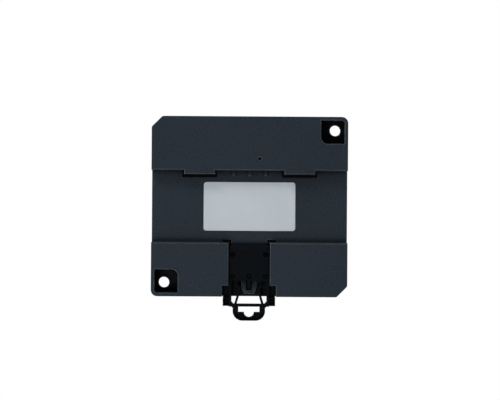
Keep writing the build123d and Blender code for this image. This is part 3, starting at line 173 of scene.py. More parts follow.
def plasticFinish(name, look):
    # Moulded plastic: slow drift of tone, fine spark-eroded grain, paler edges as a painted highlight and
    # hollows darkened as painted shade
    finish, tree, shader = startFinish(name)
    place = objectPlace(tree)
    base, paleSpeckAndHighlight = look["base"], look["paleSpeckAndHighlight"]
    drift = noiseAt(tree, place, look["driftPerMetre"], detail=2.0)
    grain = noiseAt(tree, place, look["grainPerMetre"], detail=4.0, rough=0.62)
    speck = noiseAt(tree, place, look["speckPerMetre"], detail=1.0)
    dark = tuple(c * (1 - look["driftShare"]) for c in base)
    bright = tuple(c * (1 + look["driftShare"]) for c in base)
    lit = tuple(c * look["grainLift"] for c in base)
    colour = mixColour(tree, spread(tree, drift, 0, 1, *look["driftBand"]), dark, bright)
    colour = mixColour(tree, spread(tree, grain, 0, look["grainShare"], *look["grainBand"]), colour, lit)
    colour = mixColour(tree, spread(tree, speck, 0, look["speckShare"], *look["speckBand"]), colour, paleSpeckAndHighlight)
    rounded = softEdge(tree, look["edgeRadius"])
    shade, openness = paintedHollowShade(tree, look)
    # Painted highlight: edges turn paler, patchy with the drift and weaker where walls shelter the face
    patchy = spread(tree, drift, look["leastHighlight"], 1.0, *usualBand)
    paintedEdgeHighlight = doMath(tree, "MULTIPLY", roundedEdgeMask(tree, rounded, look["highlightGain"]), patchy)
    sheltered = spread(tree, openness, look["shelteredHighlight"], 1.0, *look["shelteredBand"])
    paintedEdgeHighlight = doMath(tree, "MULTIPLY", paintedEdgeHighlight, sheltered)
    colour = mixColour(tree, paintedEdgeHighlight, colour, paleSpeckAndHighlight)
    # Painted shade: faces in the hollows darken towards black
    colour = mixColour(tree, shade, (0, 0, 0), colour)
    tree.links.new(colour, shader.inputs["Base Color"])
    rough = spread(tree, grain, look["roughLow"], look["roughHigh"], *usualBand)
    tree.links.new(rough, shader.inputs["Roughness"])
    shader.inputs["Specular IOR Level"].default_value = look["specular"]
    addBump(tree, shader, grain, look["grainDepth"], rounded)
    return finish


def metalFinish(name, look):
    # Rolled or plated metal: drawn lines along one axis, dulled patches and soft edges
    finish, tree, shader = startFinish(name)
    drawn = noiseAt(tree, objectPlace(tree, look["drawAlong"]), look["linesPerMetre"])
    patch = noiseAt(tree, objectPlace(tree), look["patchPerMetre"], detail=2.0)
    tarnished = tuple(c * look["tarnishShare"] for c in look["base"])
    colour = mixColour(tree, spread(tree, patch, 0, 1, *look["patchBand"]), look["base"], tarnished)
    tree.links.new(colour, shader.inputs["Base Color"])
    rough = spread(tree, patch, look["roughLow"], look["roughHigh"], *usualBand)
    tree.links.new(rough, shader.inputs["Roughness"])
    shader.inputs["Metallic"].default_value = 1.0
    addBump(tree, shader, drawn, look["lineDepth"], softEdge(tree, look["edgeRadius"], samples=4))
    return finish


shellLook = {
    "base": (0.0111, 0.0155, 0.0204), "paleSpeckAndHighlight": (0.16, 0.185, 0.21),
    "specular": 0.03, "roughLow": 0.5, "roughHigh": 0.66,
    "driftPerMetre": 28, "driftShare": 0.07, "driftBand": (0.35, 0.65),
    "grainPerMetre": 1450, "grainShare": 0.52, "grainBand": (0.38, 0.7),
    "grainLift": 2.7, "grainDepth": 0.000012,
    "speckPerMetre": 1300, "speckShare": 0.12, "speckBand": (0.71, 0.78),
    "edgeRadius": 0.00034, "highlightGain": 7.0, "leastHighlight": 0.55,
    "shelteredHighlight": 0.15, "shelteredBand": (0.5, 0.8),
    "hollowReach": 0.0095, "hollowShade": 0.06, "hollowBand": (0.4, 0.76),
}
latchLook = {
    **shellLook, "base": (0.0020, 0.0027, 0.0037), "paleSpeckAndHighlight": (0.014, 0.017, 0.02), "specular": 0.015,
    "roughLow": 0.42, "roughHigh": 0.58, "grainShare": 0.1, "grainDepth": 0.000006, "speckShare": 0.1,
    "edgeRadius": 0.0001, "highlightGain": 0.6, "hollowReach": 0.0016, "hollowShade": 0.15,
}
buttonLook = {**shellLook, "base": (0.02, 0.026, 0.033), "specular": 0.2, "grainDepth": 0.000006}
connectorLook = {**latchLook, "base": (0.006, 0.0062, 0.0066), "paleSpeckAndHighlight": (0.03, 0.03, 0.031),
                 "specular": 0.3, "roughLow": 0.38, "roughHigh": 0.52}
plugLook = {**connectorLook, "base": (0.011, 0.012, 0.013), "paleSpeckAndHighlight": (0.05, 0.052, 0.055)}
nylonLook = {**shellLook, "base": (0.66, 0.64, 0.57), "paleSpeckAndHighlight": (0.8, 0.79, 0.74), "specular": 0.45,
             "roughLow": 0.4, "roughHigh": 0.55, "driftShare": 0.03, "grainShare": 0.1,
             "grainDepth": 0.000004, "speckShare": 0.0}
# Painted shade for the moulding marks: discs darker than the latch, the lower three fainter
shadedMarkLook = {**latchLook, "base": (0.0007, 0.0009, 0.0013), "paleSpeckAndHighlight": (0.004, 0.005, 0.006),
            "hollowShade": 0.6}
shadedFaintLook = {**shadedMarkLook, "base": (0.0017, 0.0022, 0.0034), "paleSpeckAndHighlight": (0.012, 0.015, 0.018),
             "hollowShade": 0.8}
shellFinish = plasticFinish("slateShell", shellLook)
latchFinish = plasticFinish("latchNylon", latchLook)
buttonFinish = plasticFinish("buttonCap", buttonLook)
connectorFinish = plasticFinish("connectorBlack", connectorLook)
plugFinish = plasticFinish("plugBody", plugLook)
nylonFinish = plasticFinish("naturalNylon", nylonLook)
shadedMarkFinish = plasticFinish("shadedEjectorMark", shadedMarkLook)
shadedFaintFinish = plasticFinish("shadedFaintMark", shadedFaintLook)

zincLook = {"base": (0.62, 0.62, 0.6), "tarnishShare": 0.72, "drawAlong": (1, 1, 6), "linesPerMetre": 1400,
            "lineDepth": 0.000008, "patchPerMetre": 420, "patchBand": (0.35, 0.7), "roughLow": 0.24,
            "roughHigh": 0.44, "edgeRadius": 0.00006}
goldLook = {**zincLook, "base": (0.83, 0.6, 0.25), "tarnishShare": 0.85, "roughLow": 0.16, "roughHigh": 0.3}
tinLook = {**zincLook, "base": (0.72, 0.72, 0.7), "tarnishShare": 0.85, "drawAlong": (1, 5, 1),
           "lineDepth": 0.000005, "roughLow": 0.2, "roughHigh": 0.36}
copperLook = {**zincLook, "base": (0.72, 0.3, 0.13), "tarnishShare": 0.8, "roughLow": 0.18, "roughHigh": 0.32}
zincFinish = metalFinish("zincPlate", zincLook)
goldFinish = metalFinish("goldFlash", goldLook)
tinFinish = metalFinish("tinnedSteel", tinLook)
copperFinish = metalFinish("enamelledCopper", copperLook)
print("plastics and metals made")


def labelFinish(look):
    # Bare satin film: faint mottling from the glue below, an orange-peel face under a thin clear coat, and a
    # paler rim along its edges as a painted highlight
    finish, tree, shader = startFinish("ratingFilm")
    place = objectPlace(tree)
    mottle = noiseAt(tree, place, look["mottlePerMetre"], detail=4.0, rough=0.6)
    peel = noiseAt(tree, place, look["peelPerMetre"], detail=2.0)
    fibre = noiseAt(tree, place, look["fibrePerMetre"], detail=5.0, rough=0.7)
    colour = mixColour(tree, spread(tree, mottle, 0, 1, *usualBand), look["base"], look["pale"])
    fibres = spread(tree, fibre, 0, look["fibreShare"], *look["fibreBand"])
    colour = mixColour(tree, fibres, colour, look["grey"])
    rounded = softEdge(tree, look["edgeRadius"])
    # Painted highlight: the film's edges turn paler
    colour = mixColour(tree, roundedEdgeMask(tree, rounded, look["rimHighlightGain"]), colour, look["rimHighlight"])
    tree.links.new(colour, shader.inputs["Base Color"])
    rough = spread(tree, mottle, look["roughLow"], look["roughHigh"], *usualBand)
    tree.links.new(rough, shader.inputs["Roughness"])
    shader.inputs["Specular IOR Level"].default_value = look["specular"]
    shader.inputs["Coat Weight"].default_value = look["coat"]
    shader.inputs["Coat Roughness"].default_value = look["coatRough"]
    addBump(tree, shader, peel, look["peelDepth"], rounded)
    return finish


filmLook = {
    "base": (0.332, 0.366, 0.395), "pale": (0.36, 0.393, 0.423), "grey": (0.278, 0.307, 0.335),
    "rimHighlight": (0.56, 0.59, 0.62), "edgeRadius": 0.00012, "rimHighlightGain": 0.7,
    "specular": 0.4, "roughLow": 0.38, "roughHigh": 0.5, "coat": 0.12, "coatRough": 0.3,
    "mottlePerMetre": 90, "peelPerMetre": 900, "peelDepth": 0.000006,
    "fibrePerMetre": 5200, "fibreShare": 0.25, "fibreBand": (0.35, 0.7),
}
filmFinish = labelFinish(filmLook)


def boardFinish(name, look):
    # Solder mask over copper runs and holes, with bare glass weave at the cut edge
    finish, tree, shader = startFinish(name)
    place = objectPlace(tree)
    runSizes = {"Scale": look["runsPerMetre"], "Randomness": look["runScatter"]}
    holeSizes = {"Scale": look["holesPerMetre"], "Randomness": look["holeScatter"]}
    runs = addNode(tree, "ShaderNodeTexVoronoi", runSizes, feature="DISTANCE_TO_EDGE")
    holes = addNode(tree, "ShaderNodeTexVoronoi", holeSizes, feature="F1")
    for texture in (runs, holes):
        tree.links.new(place, texture.inputs["Vector"])
    onRun = doMath(tree, "LESS_THAN", runs.outputs["Distance"], look["runShare"])
    onHole = doMath(tree, "LESS_THAN", holes.outputs["Distance"], look["holeShare"])
    weave = noiseAt(tree, place, look["weavePerMetre"], detail=2.0)
    colour = mixColour(tree, onRun, look["mask"], look["overCopper"])
    woven = spread(tree, weave, 0, look["weaveShare"], *look["weaveBand"])
    colour = mixColour(tree, woven, colour, look["deep"])
    face = doMath(tree, "GREATER_THAN", doMath(tree, "ABSOLUTE", splitNormal(tree)["Y"]), look["faceLeast"])
    onHole = doMath(tree, "MULTIPLY", onHole, face)
    colour = mixColour(tree, onHole, colour, look["plated"])
    colour = mixColour(tree, face, look["cutEdge"], colour)
    tree.links.new(colour, shader.inputs["Base Color"])
    tree.links.new(onHole, shader.inputs["Metallic"])
    shader.inputs["Specular IOR Level"].default_value = look["specular"]
    rough = spread(tree, weave, look["roughLow"], look["roughHigh"], *usualBand)
    tree.links.new(rough, shader.inputs["Roughness"])
    rounded = softEdge(tree, look["edgeRadius"], samples=4)
    addBump(tree, shader, onRun, look["runDepth"], rounded, strength=0.6)
    return finish


maskLook = {
    "mask": (0.0035, 0.0042, 0.0046), "overCopper": (0.0075, 0.0085, 0.009), "deep": (0.0025, 0.003, 0.0032),
    "plated": (0.02, 0.022, 0.024), "cutEdge": (0.07, 0.066, 0.045), "faceLeast": 0.5,
    "specular": 0.1, "roughLow": 0.3, "roughHigh": 0.42, "edgeRadius": 0.00008,
    "runsPerMetre": 260, "runScatter": 0.55, "runShare": 0.07, "runDepth": 0.00003,
    "holesPerMetre": 300, "holeScatter": 0.9, "holeShare": 0.11,
    "weavePerMetre": 2600, "weaveShare": 0.35, "weaveBand": (0.35, 0.7),
}
radioLook = {
    **maskLook, "mask": (0.006, 0.012, 0.036), "overCopper": (0.01, 0.02, 0.055),
    "deep": (0.004, 0.009, 0.026), "plated": (0.7, 0.52, 0.24), "specular": 0.3,
    "runsPerMetre": 520, "holesPerMetre": 640,
}
maskFinish = boardFinish("solderMask", maskLook)
radioFinish = boardFinish("radioMask", radioLook)


bareMetal = {"bright": (0.74, 0.73, 0.7), "dull": (0.55, 0.55, 0.53)}


def bodyFinish(name, look, metalMask=None):
    # A moulded or coated body whose ends, leads or caps are bare metal where metalMask is 1
    finish, tree, shader = startFinish(name)
    place = objectPlace(tree)
    grain = noiseAt(tree, place, look["grainPerMetre"])
    patch = noiseAt(tree, place, look["patchPerMetre"], detail=2.0)
    colour = mixColour(tree, spread(tree, patch, 0, 1, *usualBand), look["base"], look["second"])
    if metalMask:
        metal = mixColour(tree, spread(tree, grain, 0, 1, *usualBand), bareMetal["bright"], bareMetal["dull"])
        onMetal = metalMask(tree)
        colour = mixColour(tree, onMetal, colour, metal)
        tree.links.new(onMetal, shader.inputs["Metallic"])
    tree.links.new(colour, shader.inputs["Base Color"])
    rough = spread(tree, grain, look["roughLow"], look["roughHigh"], *usualBand)
    tree.links.new(rough, shader.inputs["Roughness"])
    shader.inputs["Coat Weight"].default_value = look["coat"]
    addBump(tree, shader, grain, look["grainDepth"], softEdge(tree, look["edgeRadius"], samples=4))
    return finish


def outsideX(node, inset):
    # Leads or caps that stand beyond a body's sides
    low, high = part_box(node)

    def mask(tree):
        body = within(tree, splitPlace(tree)[0], low.x + inset, high.x - inset)
        return doMath(tree, "SUBTRACT", 1.0, body)
    return mask


def capAlongY(sign, least=0.9):
    # The end face that looks along Y, or against it
    def mask(tree):
        return doMath(tree, "GREATER_THAN", doMath(tree, "MULTIPLY", splitNormal(tree)["Y"], sign), least)
    return mask


resistorRow = {"pitch": 0.005, "half": 0.0016, "bare": 0.0011}


def resistorEnds(tree):
    # Tinned ends repeat at the resistors' pitch along X
    low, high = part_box("divider_resistors")
    pitch = resistorRow["pitch"]
    along = doMath(tree, "SUBTRACT", splitPlace(tree)[0], low.x + resistorRow["half"])
    off = doMath(tree, "ABSOLUTE", doMath(tree, "WRAP", doMath(tree, "ADD", along, pitch / 2), pitch))
    fromMiddle = doMath(tree, "ABSOLUTE", doMath(tree, "SUBTRACT", off, pitch / 2))
    return doMath(tree, "GREATER_THAN", fromMiddle, resistorRow["bare"])


varistorLeadLength = 0.0015


def varistorLeads(tree):
    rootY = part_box("varistor")[1].y - varistorLeadLength
    return doMath(tree, "GREATER_THAN", splitPlace(tree)[1], rootY)


def smallLook(base, second, rough, coat=0.0, grainPerMetre=2400, grainDepth=0.000008):
    return {"base": base, "second": second, "roughLow": rough - 0.06, "roughHigh": rough + 0.08,
            "coat": coat, "grainPerMetre": grainPerMetre, "grainDepth": grainDepth,
            "patchPerMetre": 240, "edgeRadius": 0.0001}


chipLook = smallLook((0.012, 0.012, 0.013), (0.018, 0.018, 0.018), 0.5)
sleeveLook = smallLook((0.012, 0.02, 0.07), (0.016, 0.026, 0.085), 0.28, coat=0.4,
                       grainPerMetre=700, grainDepth=0.000004)
ceramicLook = smallLook((0.62, 0.58, 0.49), (0.7, 0.66, 0.57), 0.3, coat=0.3)
coatLook = smallLook((0.03, 0.13, 0.42), (0.04, 0.16, 0.48), 0.34, coat=0.3,
                     grainPerMetre=900, grainDepth=0.00002)
ferriteLook = smallLook((0.045, 0.045, 0.05), (0.065, 0.065, 0.07), 0.55,
                        grainPerMetre=3200, grainDepth=0.000014)
ledLook = smallLook((0.82, 0.8, 0.72), (0.86, 0.84, 0.76), 0.35, coat=0.2)
rectifierFinish = bodyFinish("rectifierEpoxy", chipLook, outsideX("bridge_rectifier", inset=0.0009))
meteringFinish = bodyFinish("chipEpoxy", chipLook, outsideX("metering_chip", inset=0.0009))
resistorFinish = bodyFinish("resistorGlaze", chipLook, resistorEnds)
sleeveFinish = bodyFinish("capacitorSleeve", sleeveLook, capAlongY(-1))
fuseFinish = bodyFinish("ceramicFuse", ceramicLook, outsideX("fuse", inset=0.0024))
varistorFinish = bodyFinish("epoxyCoat", coatLook, varistorLeads)
ferriteFinish = bodyFinish("sinteredFerrite", ferriteLook)
ledFinish = bodyFinish("lampBody", ledLook, capAlongY(1))


def clearFinish(look):
    # Clear moulded acrylic, a little cloudy inside, its roughness following the cloud
    finish, tree, shader = startFinish("clearAcrylic")
    cloud = noiseAt(tree, objectPlace(tree), look["cloudPerMetre"])
    colour = mixColour(tree, spread(tree, cloud, 0, 1, *usualBand), look["base"], look["cloudy"])
    tree.links.new(colour, shader.inputs["Base Color"])
    rough = spread(tree, cloud, look["roughLow"], look["roughHigh"], *usualBand)
    tree.links.new(rough, shader.inputs["Roughness"])
    shader.inputs["Transmission Weight"].default_value = look["transmission"]
    shader.inputs["IOR"].default_value = look["ior"]
    addBump(tree, shader, cloud, look["cloudDepth"], softEdge(tree, look["edgeRadius"], samples=4))
    return finish


acrylicLook = {"base": (0.9, 0.93, 0.94), "cloudy": (0.8, 0.84, 0.86),
               "cloudPerMetre": 700, "cloudDepth": 0.000004, "roughLow": 0.12, "roughHigh": 0.3,
               "transmission": 0.85, "ior": 1.49, "edgeRadius": 0.0001}
acrylicFinish = clearFinish(acrylicLook)

finishOf = {
    shellFinish: ["rear_housing", "front_cover"],
    latchFinish: ["din_latch"],
    filmFinish: ["rating_label"],
    buttonFinish: ["set_button"],
    plugFinish: ["voltage_plug"],
    nylonFinish: ["board_spacers"],
    connectorFinish: ["header_base", "header_socket", "transformer_bobbin", "voltage_header", "usb_tongue",
                      "set_switch", "reset_switch", "set_plunger", "reset_plunger"]
                     + [f"current_jack_{i}" for i in range(1, 5)],
    zincFinish: ["board_screws"]
                + [f"terminal_{kind}_{i}" for kind in ("screw", "cage") for i in range(1, 5)],
    goldFinish: ["header_pins", "voltage_pins", "jack_contacts", "antenna", "plug_contacts"],
    tinFinish: ["usb_socket", "radio_shield"],
    maskFinish: ["main_board", "logic_board"],
    radioFinish: ["radio_module"],
    rectifierFinish: ["bridge_rectifier"],
    meteringFinish: ["metering_chip"],
    resistorFinish: ["divider_resistors"],
    sleeveFinish: ["bulk_capacitors", "output_capacitor"],
    fuseFinish: ["fuse"],
    varistorFinish: ["varistor"],
    ferriteFinish: ["transformer_core"],
    ledFinish: ["status_leds"],
    acrylicFinish: ["light_pipes"],
}
for finish, names in finishOf.items():
    for name in names:
        slots = nodes[name].data.materials
        slots.clear()
        slots.append(finish)
print("finishes given to", sum(len(names) for names in finishOf.values()), "nodes")


# Rear shell: the housing's own mesh, with its hook windows and the keyholes beside the latch opened wider
shellCuts = {"hookPlace": 0.025, "windowHalf": 0.00887, "windowLow": 0.0145, "windowHigh": 0.0182,
             "keyInner": 0.0092, "keyOuter": 0.01345, "keyLow": -0.01806, "keyHigh": -0.01665,
             "floorBack": -0.0076, "floorFace": -0.0054, "mergeWithin": 1e-6}


def addBlock(shape, xEnds, yEnds, zEnds):
    # A closed block between two places along each axis
    low, high = (Vector(corner) for corner in zip(sorted(xEnds), yEnds, zEnds))
    made = bmesh.ops.create_cube(shape, size=1.0)["verts"]
    bmesh.ops.scale(shape, vec=high - low, verts=made)
    bmesh.ops.translate(shape, vec=(low + high) / 2, verts=made)


def openShell(cuts):
    shell = bmesh.new()
    shell.from_mesh(nodes["rear_housing"].data)
    bmesh.ops.remove_doubles(shell, verts=shell.verts, dist=cuts["mergeWithin"])
    blocks = bmesh.new()
    through = (cuts["floorBack"], cuts["floorFace"])
    for side in (-1, 1):
        middle = side * cuts["hookPlace"]
        window = (middle - cuts["windowHalf"], middle + cuts["windowHalf"])
        addBlock(blocks, window, through, (cuts["windowLow"], cuts["windowHigh"]))
        keyhole = (side * cuts["keyInner"], side * cuts["keyOuter"])
        addBlock(blocks, keyhole, through, (cuts["keyLow"], cuts["keyHigh"]))
    made = []
    for name, shape in (("shellCutter", blocks), ("rear_shell", shell)):
        mesh = bpy.data.meshes.new(name)
        shape.to_mesh(mesh)
        shape.free()
        made.append(bpy.data.objects.new(name, mesh))
        bpy.context.scene.collection.objects.link(made[-1])
    cutter, piece = made
    modifier = piece.modifiers.new("open", "BOOLEAN")
    modifier.operation = "DIFFERENCE"
    modifier.solver = "EXACT"
    modifier.object = cutter
    bpy.context.view_layer.update()
    opened = bpy.data.meshes.new_from_object(piece.evaluated_get(bpy.context.evaluated_depsgraph_get()))
    piece.modifiers.clear()
    piece.data = opened
    opened.materials.clear()
    opened.materials.append(shellFinish)
    bpy.data.objects.remove(cutter)
    return piece


rearShell = openShell(shellCuts)
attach(rearShell, "case")
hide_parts("rear_housing")
print("rear shell opened,", len(rearShell.data.polygons), "faces")


# Geometry Nodes: trees for what repeats

def startTree(name, sizes):
    # An empty tree with a named input for each size
    tree = bpy.data.node_groups.new(name, "GeometryNodeTree")
    tree.interface.new_socket("Geometry", in_out="INPUT", socket_type="NodeSocketGeometry")
    for label, value in sizes.items():
        kind = "NodeSocketInt" if isinstance(value, int) else "NodeSocketFloat"
        tree.interface.new_socket(label, in_out="INPUT", socket_type=kind).default_value = value
    tree.interface.new_socket("Geometry", in_out="OUTPUT", socket_type="NodeSocketGeometry")
    return tree, tree.nodes.new("NodeGroupInput"), tree.nodes.new("NodeGroupOutput")


def endTree(tree, instances, finish, last):
    # Instances become real mesh and take their finish
    realize = tree.nodes.new("GeometryNodeRealizeInstances")
    smooth = addNode(tree, "GeometryNodeSetShadeSmooth")
    paint = addNode(tree, "GeometryNodeSetMaterial", {"Material": finish})
    tree.links.new(instances, realize.inputs[0])
    tree.links.new(realize.outputs[0], smooth.inputs["Geometry"])
    tree.links.new(smooth.outputs[0], paint.inputs["Geometry"])
    tree.links.new(paint.outputs[0], last.inputs[0])


def growPiece(name, tree, sizes, points, finish):
    # Runs a tree on a host of plain points and keeps its result as a plain mesh
    hostMesh = bpy.data.meshes.new(name + "Points")
    hostMesh.from_pydata(points, [], [])
    host = bpy.data.objects.new(name + "Host", hostMesh)
    bpy.context.scene.collection.objects.link(host)
    modifier = host.modifiers.new("repeat", "NODES")
    modifier.node_group = tree
    for item in tree.interface.items_tree:
        if item.item_type == "SOCKET" and item.in_out == "INPUT" and item.name in sizes:
            modifier[item.identifier] = sizes[item.name]
    bpy.context.view_layer.update()
    grown = host.evaluated_get(bpy.context.evaluated_depsgraph_get())
    mesh = bpy.data.meshes.new_from_object(grown)
    mesh.name = name
    host.modifiers.clear()
    bpy.data.objects.remove(host)
    mesh.materials.clear()
    mesh.materials.append(finish)
    piece = bpy.data.objects.new(name, mesh)
    bpy.context.scene.collection.objects.link(piece)
    return piece


# Winding: turns of enamelled wire side by side round the bobbin
low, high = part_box("transformer_winding")
windingSizes = {"Turns": 22, "Wire Radius": 0.00015, "Corner Radius": 0.0014,
                "Width": high.x - low.x, "Height": high.z - low.z, "Length": high.y - low.y}
windingDetail = {"cornerSteps": 5, "wireSides": 8}
windingTree, windingIn, windingOut = startTree("windingTurns", windingSizes)
loop = addNode(windingTree, "GeometryNodeCurvePrimitiveQuadrilateral", mode="RECTANGLE")
wireWidth = doMath(windingTree, "MULTIPLY", windingIn.outputs["Wire Radius"], 2.0)
for label in ("Width", "Height"):
    inset = doMath(windingTree, "SUBTRACT", windingIn.outputs[label], wireWidth)
    windingTree.links.new(inset, loop.inputs[label])
corner = addNode(windingTree, "GeometryNodeFilletCurve", {"Count": windingDetail["cornerSteps"]}, mode="POLY")
windingTree.links.new(loop.outputs[0], corner.inputs["Curve"])
windingTree.links.new(windingIn.outputs["Corner Radius"], corner.inputs["Radius"])
wire = addNode(windingTree, "GeometryNodeCurvePrimitiveCircle", {"Resolution": windingDetail["wireSides"]})
windingTree.links.new(windingIn.outputs["Wire Radius"], wire.inputs["Radius"])
turn = addNode(windingTree, "GeometryNodeCurveToMesh")
windingTree.links.new(corner.outputs[0], turn.inputs["Curve"])
windingTree.links.new(wire.outputs[0], turn.inputs["Profile Curve"])
row = addNode(windingTree, "GeometryNodeMeshLine", mode="OFFSET")
turnPitch = doMath(windingTree, "DIVIDE", windingIn.outputs["Length"], windingIn.outputs["Turns"])
offset = addNode(windingTree, "ShaderNodeCombineXYZ")
windingTree.links.new(turnPitch, offset.inputs["Z"])
windingTree.links.new(windingIn.outputs["Turns"], row.inputs["Count"])
windingTree.links.new(offset.outputs[0], row.inputs["Offset"])
turns = addNode(windingTree, "GeometryNodeInstanceOnPoints")
windingTree.links.new(row.outputs[0], turns.inputs["Points"])
windingTree.links.new(turn.outputs[0], turns.inputs["Instance"])
lay = addNode(windingTree, "GeometryNodeTransform", {"Rotation": (math.pi / 2, 0, 0)})
windingTree.links.new(turns.outputs[0], lay.inputs["Geometry"])
endTree(windingTree, lay.outputs[0], copperFinish, windingOut)
winding = growPiece("winding_turns", windingTree, windingSizes, [(0, 0, 0)], copperFinish)
halfPitch = windingSizes["Length"] / windingSizes["Turns"] / 2
firstTurn = Vector(((low.x + high.x) / 2, high.y - halfPitch, (low.z + high.z) / 2))
for vertex in winding.data.vertices:
    vertex.co += firstTurn
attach(winding, "case")
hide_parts("transformer_winding")
print("winding laid,", len(winding.data.polygons), "faces")


# Moulding marks: a disc with a raised ring in each of the five round hollows of the latch's plate, the disc
# darker than the plate as painted shade inside the hollow
markSizes = {"Mark Radius": 0.00118, "Ring Radius": 0.00098, "Ring Wire": 0.00009, "Disc Height": 0.00012}
faintSizes = {**markSizes, "Mark Radius": 0.00108, "Ring Radius": 0.0009, "Ring Wire": 0.00006}
markPlace = {"depth": -0.001895, "half": 0.00817, "upper": -0.024, "lower": -0.0349}
markDetail = {"roundSteps": 28, "ringSides": 6}
markTree, markIn, markOut = startTree("mouldingMarks", markSizes)
disc = addNode(markTree, "GeometryNodeMeshCylinder", {"Vertices": markDetail["roundSteps"]}, fill_type="NGON")
markTree.links.new(markIn.outputs["Mark Radius"], disc.inputs["Radius"])
markTree.links.new(markIn.outputs["Disc Height"], disc.inputs["Depth"])
ringLine = addNode(markTree, "GeometryNodeCurvePrimitiveCircle", {"Resolution": markDetail["roundSteps"]})
markTree.links.new(markIn.outputs["Ring Radius"], ringLine.inputs["Radius"])
ringWire = addNode(markTree, "GeometryNodeCurvePrimitiveCircle", {"Resolution": markDetail["ringSides"]})
markTree.links.new(markIn.outputs["Ring Wire"], ringWire.inputs["Radius"])
ring = addNode(markTree, "GeometryNodeCurveToMesh")
markTree.links.new(ringLine.outputs[0], ring.inputs["Curve"])
markTree.links.new(ringWire.outputs[0], ring.inputs["Profile Curve"])
raised = addNode(markTree, "GeometryNodeTransform")
lift = addNode(markTree, "ShaderNodeCombineXYZ")
markTree.links.new(doMath(markTree, "MULTIPLY", markIn.outputs["Disc Height"], 0.5), lift.inputs["Z"])
markTree.links.new(lift.outputs[0], raised.inputs["Translation"])
markTree.links.new(ring.outputs[0], raised.inputs["Geometry"])
mark = addNode(markTree, "GeometryNodeJoinGeometry")
markTree.links.new(disc.outputs["Mesh"], mark.inputs[0])
markTree.links.new(raised.outputs[0], mark.inputs[0])
marks = addNode(markTree, "GeometryNodeInstanceOnPoints", {"Rotation": (-math.pi / 2, 0, 0)})
markTree.links.new(markIn.outputs["Geometry"], marks.inputs["Points"])
markTree.links.new(mark.outputs[0], marks.inputs["Instance"])
endTree(markTree, marks.outputs[0], shadedMarkFinish, markOut)
upperPoints = [(side * markPlace["half"], markPlace["depth"], markPlace["upper"]) for side in (-1, 1)]
lowerPoints = [(side * markPlace["half"], markPlace["depth"], markPlace["lower"]) for side in (-1, 0, 1)]
upperMarks = growPiece("upper_marks", markTree, markSizes, upperPoints, shadedMarkFinish)
lowerMarks = growPiece("lower_marks", markTree, faintSizes, lowerPoints, shadedFaintFinish)
for marksPiece in (upperMarks, lowerMarks):
    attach(marksPiece, "din_latch")
print("marked the latch in", len(upperPoints) + len(lowerPoints), "places")


# Solder joints: a tinned cone round each pin's tail on the main board's back
jointSizes = {"Foot Radius": 0.00085, "Tip Radius": 0.00028, "Rise": 0.0006}
jointDetail = {"Vertices": 14, "Side Segments": 3}
jointTree, jointIn, jointOut = startTree("solderJoints", jointSizes)
cone = addNode(jointTree, "GeometryNodeMeshCone", jointDetail)
for socket, label in (("Radius Bottom", "Foot Radius"), ("Radius Top", "Tip Radius"), ("Depth", "Rise")):
    jointTree.links.new(jointIn.outputs[label], cone.inputs[socket])
joints = addNode(jointTree, "GeometryNodeInstanceOnPoints", {"Rotation": (-math.pi / 2, 0, 0)})
jointTree.links.new(jointIn.outputs["Geometry"], joints.inputs["Points"])
jointTree.links.new(cone.outputs[0], joints.inputs["Instance"])
endTree(jointTree, joints.outputs[0], tinFinish, jointOut)
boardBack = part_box("main_board")[1].y
pinLow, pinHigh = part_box("header_pins")
poleLow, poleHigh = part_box("voltage_pins")
pinRow = {"count": 8, "half": 0.00032}
poleRow = {"count": 4, "half": 0.0005}
jointPoints = []
for spot, first, last, jointZ in ((pinRow, pinLow.x, pinHigh.x, (pinLow.z + pinHigh.z) / 2),
                                  (poleRow, poleLow.x, poleHigh.x, poleLow.z + poleRow["half"])):
    start, end = first + spot["half"], last - spot["half"]
    for i in range(spot["count"]):
        jointPoints.append((start + (end - start) * i / (spot["count"] - 1), boardBack, jointZ))
solder = growPiece("solder_joints", jointTree, jointSizes, jointPoints, tinFinish)
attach(solder, "case")


# Light: a box beside the camera low on the left, a long one steeply above, and fill for the other sides
lampAim = Vector((0, -0.015, 0))
lampLooks = {
    "lowLeftBox": {"place": (0.28, 0.85, -0.38), "size": (0.35, 0.35), "watts": 6.1},
    "topStrip": {"place": (0.3, 0.42, 0.72), "size": (0.5, 0.25), "watts": 6.4},
    "lowStrip": {"place": (0.35, 0.3, -0.58), "size": (0.9, 0.25), "watts": 0.7},
    "rightFill": {"place": (-0.95, 0.5, 0.0), "size": (0.4, 0.9), "watts": 1.2},
    "frontKey": {"place": (-0.6, -0.95, 0.7), "size": (0.8, 0.8), "watts": 24},
    "frontFill": {"place": (0.9, -0.8, -0.1), "size": (0.7, 0.9), "watts": 11},
}


def addLamp(name, look):
    lamp = bpy.data.lights.new(name, "AREA")
    lamp.shape = "RECTANGLE"
    lamp.size, lamp.size_y = look["size"]
    lamp.energy = look["watts"]
    holder = bpy.data.objects.new(name, lamp)
    holder.location = look["place"]
    holder.rotation_euler = (lampAim - holder.location).to_track_quat("-Z", "Y").to_euler()
    bpy.context.scene.collection.objects.link(holder)


for lampName, lampLook in lampLooks.items():
    addLamp(lampName, lampLook)

